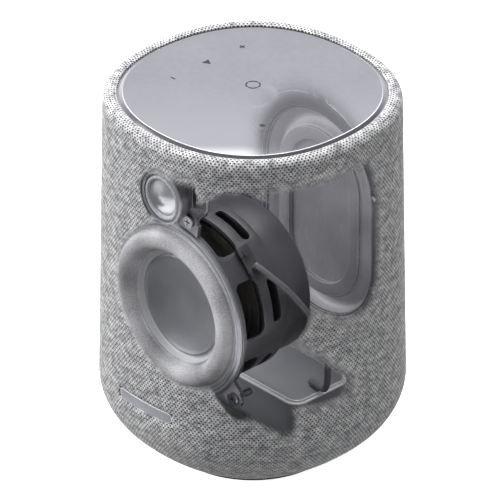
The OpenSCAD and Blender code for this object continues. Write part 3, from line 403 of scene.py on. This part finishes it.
dish_profile = dish_curve(0) + [(24.5, 1.9), (25.3, 2.2), (25.3, 2.98), (24, 2.98)]
dish_profile += [p for p in dish_curve(0.6)[::-1] if p[0] < 22.7]
finished("woofer_dish_shell", swept(dish_profile, woofer, steps=160, rounding=0, closed=False), dish_metal,
         "woofer_cone_body", "dish_aluminium", "woofer_dish")
# Enamelled copper wire on a thin former
winding = surface("enamelled_copper", "b8774e", "8a5232", 1, 0.35, 0.3, 0.03, (1, 30, 1))
softened("woofer_coil", winding, "woofer_cone_body", "copper", 0)
# Corrugated cotton stiffened with resin and dyed black
spider_cloth = surface("resin_dipped_cotton", "3a3835", "2a2826", 0, 0.8, 0.6, 0.05)
spider = bmesh.new()
spider.from_mesh(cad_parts["woofer_spider"].data)
bmesh.ops.remove_doubles(spider, verts=spider.verts, dist=0.002 * MM)
woofer_spider = finished("spider_cloth", spider, spider_cloth, None, "spider_cloth", "woofer_spider")
flexing(woofer_spider, "woofer_cone_body", 35, 17, woofer)
# Zinc-plated soft iron, black ferrite and a drawn steel can
soft_iron = surface("plated_soft_iron", "a4a4a9", "7f7f85", 1, 0.35, 0.5, 0.006)
ferrite = surface("sintered_ferrite", "3b3b3e", "2b2b2e", 0.2, 0.55, 0.5, 0.02)
can_steel = surface("drawn_lacquered_steel", "56565b", "4c4c51", 0.45, 0.4, 0.5, 0.006)
softened("woofer_top_plate", soft_iron, "cabinet", "plate_steel", 0.3)
softened("woofer_magnet", ferrite, "cabinet", "ferrite", 0.3)
softened("woofer_yoke", soft_iron, "cabinet", "plate_steel", 0.3)
# The can's rounded edges carry the painted highlight
softened("woofer_can", can_steel, "cabinet", "can_steel", 0.9, metal_edge_highlight)
softened("woofer_terminal", component_plastic, "cabinet", "component_plastic", 0.3)
# Blackened steel screws, duller than the plated ones
black_steel = surface("blackened_steel", "85858a", "66666b", 1, 0.42, 0.3, 0.005)
softened("woofer_screws", black_steel, "cabinet", "screw_steel", 0.15)

# ---- Tweeter ----
# A 20 mm metal dome in its own small motor, clamped to a bracket above the woofer. The
# face ring and the dome's soft half roll are glued in one stack.
ring_low, ring_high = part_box("tweeter_face_ring")
tweeter = Vector((0, ring_low.y, (ring_low.z + ring_high.z) / 2))
face_profile = [(11.7, 1.6), (11.7, 0.6), (12.0, 0.1), (12.5, 0), (12.7, 0.35), (13.0, 0.35), (13.2, 0.8),
                (13.2, 1.6)]
finished("tweeter_ring", swept(face_profile, tweeter, steps=128, rounding=0.08), ring_metal, "cabinet",
         "ring_paint", "tweeter_face_ring")
softened("tweeter_surround", speckled_rubber, None, "roll_rubber", 0)
flexing(bpy.data.objects["tweeter_surround_softened"], "tweeter_dome_body", 11.1, 9.2, tweeter)
# Spun aluminium dome, bright with a soft sheen
dome_metal = surface("spun_aluminium", "b8b9be", "96979c", 0.9, 0.34, 0.3, 0.01)
softened("tweeter_dome", dome_metal, "tweeter_dome_body", "dish_aluminium", 0)
softened("tweeter_coil", winding, "tweeter_dome_body", "copper", 0)
# Motor and bracket edges carry the same painted highlight
softened("tweeter_motor", can_steel, "cabinet", "motor_steel", 0.3, coat_edge_highlight)
softened("tweeter_bracket", basket_paint, "cabinet", "bracket_steel", 0.3, coat_edge_highlight)
softened("tweeter_screws", screw_steel, "cabinet", "screw_steel", 0)

# ---- Speaker leads ----
# Two PVC insulated copper wires in one flat lead run from the woofer's terminal down to
# the cover. They are clipped at both ends and never move.

# Extruded PVC: smooth, slightly waxy grey
lead_pvc = surface("extruded_pvc", "6a6a70", "5e5e64", 0, 0.5, 1.5, 0.01)
softened("speaker_leads", lead_pvc, "cabinet", "lead_insulation", 0)

# ---- Skin openings ----
# The skins are shown drawn back over the drivers, so each skin's cover falls to nothing
# inside a few soft-edged openings. Each opening is drawn slantwise through the skins.
slant_x, slant_z = -sight.x / sight.y, -sight.z / sight.y


def on_front(material):
    """Slanted coordinates in which a disc that faces forwards keeps its round shape."""
    place = add(material, "TexCoord", output="Object")
    across = add(material, "VectorMath", {0: place, 1: (1, slant_x, 0)}, "Value", operation="DOT_PRODUCT")
    up = add(material, "VectorMath", {0: place, 1: (0, slant_z, 1)}, "Value", operation="DOT_PRODUCT")
    return add(material, "CombineXYZ", {0: across, 1: up})


def front_point(x, y, z):
    """The slanted coordinates of a place given in metres."""
    return Vector((x + slant_x * y, z + slant_z * y, 0))


def opening(material, plane, start, end, radius_start, radius_end, inside, outside):
    """0 in a round-ended opening between two points, and 1 from a little way outside it."""
    run = end - start
    offset = add(material, "VectorMath", {0: plane, 1: start}, operation="SUBTRACT")
    share = add(material, "VectorMath", {0: offset, 1: run / run.length_squared}, "Value",
                operation="DOT_PRODUCT")
    share = add(material, "Math", {0: share, 1: 1.0}, operation="MULTIPLY", use_clamp=True)
    foot = add(material, "VectorMath", {0: run, "Scale": share}, operation="SCALE")
    away = add(material, "VectorMath", {0: offset, 1: foot}, operation="SUBTRACT")
    distance = add(material, "VectorMath", {0: away}, "Value", operation="LENGTH")
    taper = add(material, "Math", {0: share, 1: radius_start - radius_end, 2: -radius_start},
                operation="MULTIPLY_ADD")
    outwards = add(material, "Math", {0: distance, 1: taper}, operation="ADD")
    return fade(material, outwards, -inside, outside)


def skin_cover(material, near, radiator_radius=0.040):
    """How much of a skin is left at each place: 0 over the drivers, 1 elsewhere."""
    plane = on_front(material)
    y = woofer.y
    lug = front_point(0.039, y, woofer.z - 0.033)
    up = Vector((0, straight * MM / 2, 0))
    radiator = front_point(*radiator_centre)
    softness = 0.006 if near else 0.010
    openings = [
        opening(material, plane, front_point(0, y, woofer.z), front_point(0, can_high.y, woofer.z),
                0.0415, 0.0385, 0.0025, 0.0030),
        opening(material, plane, front_point(0, y, woofer.z), lug, 0.012, 0.0100, 0.001, 0.003),
        opening(material, plane, front_point(0, tweeter.y, tweeter.z),
                front_point(0, tweeter.y + 0.012, tweeter.z), 0.0135, 0.0125, 0.001, 0.0025),
        opening(material, plane, radiator - up, radiator + up, radiator_radius, radiator_radius,
                softness, softness),
    ]
    cover_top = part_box("electronics_cover")[1].z
    place = add(material, "TexCoord", output="Object")
    level = add(material, "VectorMath", {0: place, 1: (1, 0, -sight.x / sight.z)}, "Value",
                operation="DOT_PRODUCT")
    deep = add(material, "VectorMath", {0: place, 1: (0, 1, -sight.y / sight.z)}, "Value",
               operation="DOT_PRODUCT")
    floor = add(material, "CombineXYZ", {0: level, 1: deep})
    shift = Vector((-sight.x / sight.z * cover_top, -sight.y / sight.z * cover_top, 0))
    openings.append(opening(material, floor, Vector((-0.016, 0.014, 0)) + shift,
                            Vector((0.020, 0.014, 0)) + shift, 0.026, 0.024, 0.008, 0.008))
    openings.append(opening(material, plane, front_point(-0.012, -0.003, 0.024),
                            front_point(0.022, -0.003, 0.024), 0.013, 0.013, 0.006, 0.006))
    left = openings[0]
    for other in openings[1:]:
        left = add(material, "Math", {0: left, 1: other}, operation="MULTIPLY")
    if not near:
        return left
    rim = fade(material, add(material, "SeparateXYZ", {0: place}, "Z"), 0.170, 0.182)
    left = add(material, "Math", {0: left, 1: rim}, operation="MAXIMUM")
    return add(material, "Math", {0: left, 1: behind_cut(material)}, operation="MAXIMUM")


# ---- Top electronics ----
# Under the top panel lie a touch board with two microphones in rubber boots, a ring-shaped
# light guide and two aerials, all on a moulded frame that also clamps the cloth's rim.

# Grey frame moulding, drawn back over the radiator like the skins
top_plastic = surface("moulded_top_frame_abs", "8a8a90", "76767c", 0, 0.5, 0.5, 0.015)
# The touch board's white-masked laminate, drawn back likewise
touch_laminate = surface("masked_touch_laminate", "7a7c84", "686a72", 0, 0.4, 0.8, 0.01)
# Frosted acrylic light pipe
light_pipe = surface("frosted_acrylic", "e8e8ec", "d4d4da", 0, 0.5, 0.6, 0.01)
for drawn_back in (top_plastic, touch_laminate, light_pipe):
    shader = drawn_back.node_tree.nodes["Principled BSDF"]
    feed(drawn_back, shader, {"Alpha": skin_cover(drawn_back, False, 0.050)})
lets_light_in(softened("top_frame", top_plastic, "cabinet", "trim_plastic", 0),
              softened("touch_board", touch_laminate, "cabinet", "board", 0))
softened("light_guide", light_pipe, "cabinet", "light_guide", 0.2)
softened("microphones", plated_steel, "cabinet", "can_metal", 0.1)
softened("microphone_boots", foam_rubber, "cabinet", "seal_rubber", 0)
softened("antennas", touch_laminate, "cabinet", "board", 0)

# ---- Trim ring and top panel ----
# A thin bright trim ring closes the joint between cloth and panel. The panel is clear smoky
# polycarbonate, hard-coated and polished, with a painted reflection and a painted highlight strip in its
# colour towards the front.
sleeve_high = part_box("fabric_sleeve")[1]
half = cad_box[1].x / MM
SQUARENESS = 2.24


def squared(bm):
    """Squares a circle about the body's axis to the plan outline, each radius keeping its share."""
    for vertex in bm.verts:
        r, t = hypot(vertex.co.x, vertex.co.y), atan2(vertex.co.y, vertex.co.x)
        vertex.co.x = r * copysign(abs(cos(t)) ** (2 / SQUARENESS), cos(t))
        vertex.co.y = r * copysign(abs(sin(t)) ** (2 / SQUARENESS), sin(t))


def round_body(profile, rounding, closed=True, steps=256):
    """Turns a profile of (inset, level) millimetres about the body's axis."""
    bm = bmesh.new()
    points = [bm.verts.new(((half - inset) * MM, 0, z * MM)) for inset, z in profile]
    for pair in zip(points, points[1:] + points[:1] if closed else points[1:]):
        bm.edges.new(pair)
    if rounding:
        bmesh.ops.bevel(bm, geom=bm.verts[:] + bm.edges[:], offset=rounding * MM, segments=3,
                        offset_type="OFFSET", profile=0.5, affect="VERTICES", material=-1,
                        clamp_overlap=True)
    bmesh.ops.spin(bm, geom=bm.verts[:] + bm.edges[:], cent=(0, 0, 0), axis=(0, 0, 1), angle=tau,
                   steps=steps, use_merge=True)
    bmesh.ops.remove_doubles(bm, verts=bm.verts, dist=0.002 * MM)
    bmesh.ops.recalc_face_normals(bm, faces=bm.faces)
    return bm


panel_low, panel_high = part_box("top_panel")
panel_inset, panel_top, panel_under = half - panel_high.x / MM, panel_high.z / MM, panel_low.z / MM
trim_low, trim_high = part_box("top_trim_ring")
trim_inset, trim_top, trim_under = half - trim_high.x / MM, trim_high.z / MM, trim_low.z / MM
# Anodised aluminium strip, mid grey with a soft sheen
trim_metal = surface("anodised_trim_aluminium", "a8a8ae", "8e8e94", 0.6, 0.35, 0.4, 0.004)
trim = round_body([(trim_inset, trim_under), (trim_inset, trim_top), (trim_inset + 0.7, trim_top),
                   (trim_inset + 0.7, trim_under)], 0.15)
squared(trim)
finished("trim_strip", trim, trim_metal, "cabinet", "trim_plastic", "top_trim_ring")
BEVEL_WIDTH, BEVEL_HEIGHT = 1.7, 1.5
plateau, ARRIS = panel_inset + BEVEL_WIDTH, 0.5
panel = round_body([(half, panel_under), (panel_inset, panel_under), (panel_inset, panel_top - BEVEL_HEIGHT),
                    (plateau, panel_top), (plateau + ARRIS, panel_top), (half, panel_top)],
                   0.12, closed=False)
for face in panel.faces:
    middle = face.calc_center_median()
    inset = half - hypot(middle.x, middle.y) / MM
    face.material_index = 1 if 0.1 < face.normal.z < 0.9 else 0
    if face.normal.z > 0.9 and inset < plateau + ARRIS - 0.05:
        face.material_index = 2
squared(panel)
# Painted shade: the bevel is coloured dark grey at the front, turning pale towards the rear below
panel_bevel_painted_shade = surface("polycarbonate_bevel_painted_shade", "58585e", "4c4c52", 0, 0.2, 1.0, 0.001)
# Painted highlight: the arris is coloured near white as a fine line at the front, turning grey towards the
# rear below
arris_painted_highlight = surface("polycarbonate_arris_painted_highlight", "fafafc", "f0f0f4", 0, 0.15, 1.0, 0.001)



def frontwards(material):
    """How far a place lies towards the front right corner, in metres from the body's axis."""
    place = add(material, "TexCoord", output="Object")
    return add(material, "VectorMath", {0: place, 1: (sin(VIEW_TURN), -cos(VIEW_TURN), 0)}, "Value",
               operation="DOT_PRODUCT")


# Painted shade and painted highlight: bevel and arris keep their front colours and turn to these colours
# towards the rear
for clear, rear in ((panel_bevel_painted_shade, "c4c4ca"), (arris_painted_highlight, "8c8c93")):
    shader = clear.node_tree.nodes["Principled BSDF"]
    tint = add(clear, "Mix", {0: fade(clear, frontwards(clear), -0.02, 0.03), 6: linear(rear),
                              7: shader.inputs["Base Color"].links[0].from_socket}, 2, data_type="RGBA")
    feed(clear, shader, {"Base Color": tint})
# Smoky clear polycarbonate under a polished hard coat. Painted reflection: its colour lightens towards the
# front corner, and a painted highlight strip runs near white along the very front
panel_gloss = surface("smoky_polycarbonate_painted_reflection", "8c8c93", "86868d", 0, 0.16, 3.0, 0.001)
along = frontwards(panel_gloss)
# Painted reflection fading in towards the front, then the near-white painted highlight strip at the front
# edge
painted_reflection_fade = fade(panel_gloss, along, -0.02, 0.05)
painted_highlight_strip = fade(panel_gloss, along, 0.050, 0.062)
shader = panel_gloss.node_tree.nodes["Principled BSDF"]
smoke = shader.inputs["Base Color"].links[0].from_socket
tint = add(panel_gloss, "Mix", {0: painted_reflection_fade, 6: smoke, 7: linear("98989f")}, 2, data_type="RGBA")
tint = add(panel_gloss, "Mix", {0: painted_highlight_strip, 6: tint, 7: linear("e6e6ec")}, 2, data_type="RGBA")
left = skin_cover(panel_gloss, False, 0.047)
see_through = add(panel_gloss, "MapRange", {"Value": left, "To Min": 0.16, "To Max": 0.94})
feed(panel_gloss, shader, {"Base Color": tint, "Alpha": see_through, "Coat Weight": 0.6,
                           "Coat Roughness": 0.04})
polished = finished("top_panel_polished", panel, panel_gloss, "cabinet", "panel_gloss", "top_panel",
                    edge=panel_bevel_painted_shade)
polished.data.materials.append(arris_painted_highlight)
lets_light_in(polished)
# Screen-printed marks, matt dark ink
mark_ink = surface("screen_printed_ink", "232326", "151518", 0, 0.5, 0.3, 0.002)
softened("panel_markings", mark_ink, "cabinet", "mark_ink", 0)

# ---- Grille carrier ----
# The carrier is a moulded ABS basket with long sound slots. It holds the cloth in shape
# and clips on to the base, so only its far half shows through the drawn-back skins.
carrier_plastic = surface("moulded_carrier_abs", "4c4c51", "3e3e43", 0, 0.6, 0.6, 0.02)
shader = carrier_plastic.node_tree.nodes["Principled BSDF"]
feed(carrier_plastic, shader, {"Alpha": behind_cut(carrier_plastic)})
lets_light_in(softened("grille_carrier", carrier_plastic, "cabinet", "carrier_plastic", 0, crease=30))

# ---- Cloth sleeve ----
# A tube of woven polyester, stretched over the carrier, glued under its foot and
# tucked in at the rim. The weave is a coarse mat of pale threads with pin-holes, painted near black as
# shade.
THREAD_PITCH, ROW_PITCH, CLOTH = 2.1, 1.25, 0.9
lip_level, top_level = 2.2, sleeve_high.z / MM
round_w, round_h, taper, roll_w, roll_h, roll_end = 45, 37.2, 2.6, 4.2, 4.9, radians(125)
shoulder = top_level - roll_h
start = radians(24.7)
bottom = [start + (pi / 2 - start) * i / 28 for i in range(29)]
profile = [(round_w * (1 - sin(k)), lip_level + round_h * (1 - cos(k))) for k in bottom]
profile += [(taper * i / 24, lip_level + round_h + (shoulder - lip_level - round_h) * i / 24)
            for i in range(1, 24)]
profile += [(taper + roll_w * (1 - cos(q)), shoulder + roll_h * sin(q))
            for q in (roll_end * i / 18 for i in range(19))]
lengths = [0.0]
for (a, b), (c, d) in zip(profile, profile[1:]):
    lengths.append(lengths[-1] + hypot(c - a, d - b))
sleeve = bmesh.new()
along = sleeve.verts.layers.float.new("along")
points = [sleeve.verts.new(((half - inset) * MM, 0, z * MM)) for inset, z in profile]
for point, length in zip(points, lengths):
    point[along] = length
for pair in zip(points, points[1:]):
    sleeve.edges.new(pair)
bmesh.ops.spin(sleeve, geom=sleeve.verts[:] + sleeve.edges[:], cent=(0, 0, 0), axis=(0, 0, 1), angle=tau,
               steps=256, use_merge=True)
bmesh.ops.recalc_face_normals(sleeve, faces=sleeve.faces)
squared(sleeve)
girth = tau * half * 1.03
columns = 2 * round(girth / THREAD_PITCH / 2)
weave_map = sleeve.loops.layers.uv.new("weave")
for face in sleeve.faces:
    middle = face.calc_center_median()
    centre_turn = atan2(middle.y, middle.x) / tau
    for loop in face.loops:
        turn = atan2(loop.vert.co.y, loop.vert.co.x) / tau
        turn += round(centre_turn - turn)
        loop[weave_map].uv = (turn * columns, loop.vert[along] / ROW_PITCH)


def cut_window(bm, low, high, side):
    """Cuts a rectangular window, given in millimetres, out of one side of the sleeve."""
    for place, normal in (((low[0], 0, 0), (1, 0, 0)), ((high[0], 0, 0), (1, 0, 0)),
                          ((0, 0, low[1]), (0, 0, 1)), ((0, 0, high[1]), (0, 0, 1))):
        faces = [f for f in bm.faces if f.calc_center_median().y * side > 0.05
                 and abs(f.calc_center_median().x) < 0.04 and f.calc_center_median().z < 0.08]
        edges, corners = ({part for f in faces for part in getattr(f, kind)} for kind in ("edges", "verts"))
        geometry = [*faces, *edges, *corners]
        bmesh.ops.bisect_plane(bm, geom=geometry, plane_co=Vector(place) * MM, plane_no=normal, dist=1e-7)
    inside = [f for f in bm.faces if f.calc_center_median().y * side > 0
              and low[0] < f.calc_center_median().x / MM < high[0]
              and low[1] < f.calc_center_median().z / MM < high[1]]
    bmesh.ops.delete(bm, geom=inside, context="FACES")


badge_low, badge_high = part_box("badge_plate")
rear_low, rear_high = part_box("io_panel")
cut_window(sleeve, (badge_low.x / MM - 0.3, badge_low.z / MM - 0.3),
           (badge_high.x / MM + 0.3, badge_high.z / MM + 0.3), -1)
cut_window(sleeve, (rear_low.x / MM - 0.6, rear_low.z / MM - 0.6),
           (rear_high.x / MM + 0.6, rear_high.z / MM + 0.6), 1)
area = sum(f.calc_area() for f in sleeve.faces)

# Woven polyester: pale threads, pin-holes in staggered columns, and a melange of lighter
# and darker yarn. The pin-holes are painted shade: near black, for the dark inside seen through them
cloth = bpy.data.materials.new("woven_polyester")
cloth.use_nodes = True
stitches = add(cloth, "UVMap", uv_map="weave")
wander = add(cloth, "TexNoise", {"Vector": stitches, "Scale": 0.7, "Detail": 1.0}, "Color")
wander = add(cloth, "VectorMath", {0: wander, 1: (0.5, 0.5, 0.5)}, operation="SUBTRACT")
wander = add(cloth, "VectorMath", {0: wander, "Scale": 0.3}, operation="SCALE")
stitches = add(cloth, "VectorMath", {0: stitches, 1: wander}, operation="ADD")
split = add(cloth, "SeparateXYZ", {0: stitches}, "X")
column, row = split, split.node.outputs["Y"]
whole_row = add(cloth, "Math", {0: row}, operation="FLOOR")
odd = add(cloth, "Math", {0: whole_row, 1: 2.0}, operation="FLOORED_MODULO")
shifted = add(cloth, "Math", {0: odd, 1: 0.5, 2: column}, operation="MULTIPLY_ADD")
across = add(cloth, "Math", {0: shifted, 1: 1.0}, operation="FLOORED_MODULO")
across = add(cloth, "Math", {0: across, 1: 0.5}, operation="SUBTRACT")
up = add(cloth, "Math", {0: row, 1: 1.0}, operation="FLOORED_MODULO")
up = add(cloth, "Math", {0: up, 1: 0.5}, operation="SUBTRACT")
cell = add(cloth, "CombineXYZ", {0: across, 1: up})
cell = add(cloth, "VectorMath", {0: cell, 1: (1.5, 1.0, 1.0)}, operation="MULTIPLY")
loop_number = add(cloth, "CombineXYZ", {0: shifted, 1: row})
loop_number = add(cloth, "VectorMath", {0: loop_number}, operation="FLOOR")
loop_tint = add(cloth, "TexWhiteNoise", {"Vector": loop_number})
reach = add(cloth, "VectorMath", {0: cell}, "Value", operation="LENGTH")
thread = fade(cloth, reach, 0.20, 0.46)
fuzz = add(cloth, "TexNoise", {"Vector": stitches, "Scale": 3.0, "Detail": 3.0})
yarn = add(cloth, "TexNoise", {"Vector": stitches, "Scale": 0.35, "Detail": 1.0})
mottle = add(cloth, "Math", {0: fuzz, 1: yarn}, operation="ADD")
mottle = add(cloth, "Math", {0: loop_tint, 1: 0.6, 2: mottle}, operation="MULTIPLY_ADD")
mottle = add(cloth, "MapRange", {"Value": mottle, "From Min": 0.9, "From Max": 1.75})
pale = add(cloth, "Mix", {0: mottle, 6: linear("8c8c92"), 7: linear("ffffff")}, 2, data_type="RGBA")
# Painted shade: the pin-holes between the threads are coloured near black
colour = add(cloth, "Mix", {0: thread, 6: linear("1c1c20"), 7: pale}, 2, data_type="RGBA")
height = add(cloth, "Math", {0: fuzz, 1: 0.35, 2: thread}, operation="MULTIPLY_ADD")
bump = add(cloth, "Bump", {"Height": height, "Distance": 0.35 * MM})
cover = skin_cover(cloth, True)
hole = add(cloth, "Math", {0: thread, 1: 0.7, 2: -0.7}, operation="MULTIPLY_ADD")
alpha = add(cloth, "Math", {0: cover, 1: 1.7, 2: hole}, operation="MULTIPLY_ADD", use_clamp=True)
feed(cloth, cloth.node_tree.nodes["Principled BSDF"], {
    "Base Color": colour, "Alpha": alpha, "Normal": bump, "Roughness": 0.85, "Sheen Weight": 0.25,
    "Sheen Roughness": 0.5})
cloth_sleeve = finished("cloth_sleeve", sleeve, cloth, "cabinet", "cloth", "fabric_sleeve", crease=60)
lets_light_in(cloth_sleeve)
thickness = cloth_sleeve.modifiers.new("cloth_thickness", "SOLIDIFY")
thickness.thickness, thickness.offset = CLOTH * MM, -1

# ---- Badge ----
# A small blank plate of brushed aluminium sits in a window of the cloth at the front.
badge_metal = surface("brushed_badge_aluminium", "6c6d72", "5c5d62", 0.85, 0.35, 0.4, 0.01, (0.08, 1, 1))
# The badge's rounded edge carries the painted highlight
softened("badge_plate", badge_metal, "cabinet", "badge_metal", 0.3, metal_edge_highlight)

# ---- Studio ----
# The speaker stands on a plain pale floor under a large soft lamp at its front left, with
# a weaker lamp overhead, in a white room.
scene = bpy.context.scene
scene.view_settings.view_transform = "Standard"
scene.cycles.transparent_max_bounces = 48
bm = bmesh.new()
bmesh.ops.create_grid(bm, x_segments=1, y_segments=1, size=8)
floor_mesh = bpy.data.meshes.new("studio_floor")
bm.to_mesh(floor_mesh)
bm.free()
floor_paint = surface("matt_white_floor", "ffffff", "fcfcfc", 0, 0.9, 5, 0.01)
floor_shader = floor_paint.node_tree.nodes["Principled BSDF"]
feed(floor_paint, floor_shader, {"Emission Color": (1, 1, 1, 1), "Emission Strength": 0.9})
floor_mesh.materials.append(floor_paint)
floor = bpy.data.objects.new("studio_floor", floor_mesh)
floor.visible_diffuse = False
scene.collection.objects.link(floor)

scene.world = bpy.data.worlds.new("white_room")
scene.world.use_nodes = True
upwards = add(scene.world, "TexCoord", output="Generated")
upwards = add(scene.world, "SeparateXYZ", {0: upwards}, "Z")
sky = add(scene.world, "MapRange", {"Value": upwards, "From Min": -0.3, "From Max": 0.6, "To Min": 0.12,
                                    "To Max": 0.6})
feed(scene.world, scene.world.node_tree.nodes["Background"], {"Strength": sky, "Color": (1, 1, 1, 1)})


def lamp(name, place, size, power):
    """A square soft lamp that shines on the speaker's middle."""
    light = bpy.data.lights.new(name, "AREA")
    light.size, light.energy = size, power
    holder = bpy.data.objects.new(name, light)
    holder.location = place
    holder.rotation_euler = (Vector((0, 0, 0.1)) - Vector(place)).to_track_quat("-Z", "Y").to_euler()
    scene.collection.objects.link(holder)


lamp("key_lamp", (-1.1, -0.9, 0.7), 0.8, 16)
lamp("top_lamp", (-0.4, 0.35, 1.5), 0.8, 22)

# ---- Camera ----
# A long lens from the front right, a little above the speaker.
target, distance = Vector((0, 0, 0.10245)), 4.222
camera = bpy.data.objects.new("camera", bpy.data.cameras.new("camera"))
camera.data.lens, camera.data.sensor_width, camera.data.shift_x = 648, 36, -0.0052
camera.data.clip_end = 50
camera.location = target + sight * distance
camera.rotation_euler = (pi / 2 - VIEW_TILT, 0, VIEW_TURN)
scene.collection.objects.link(camera)
scene.camera = camera
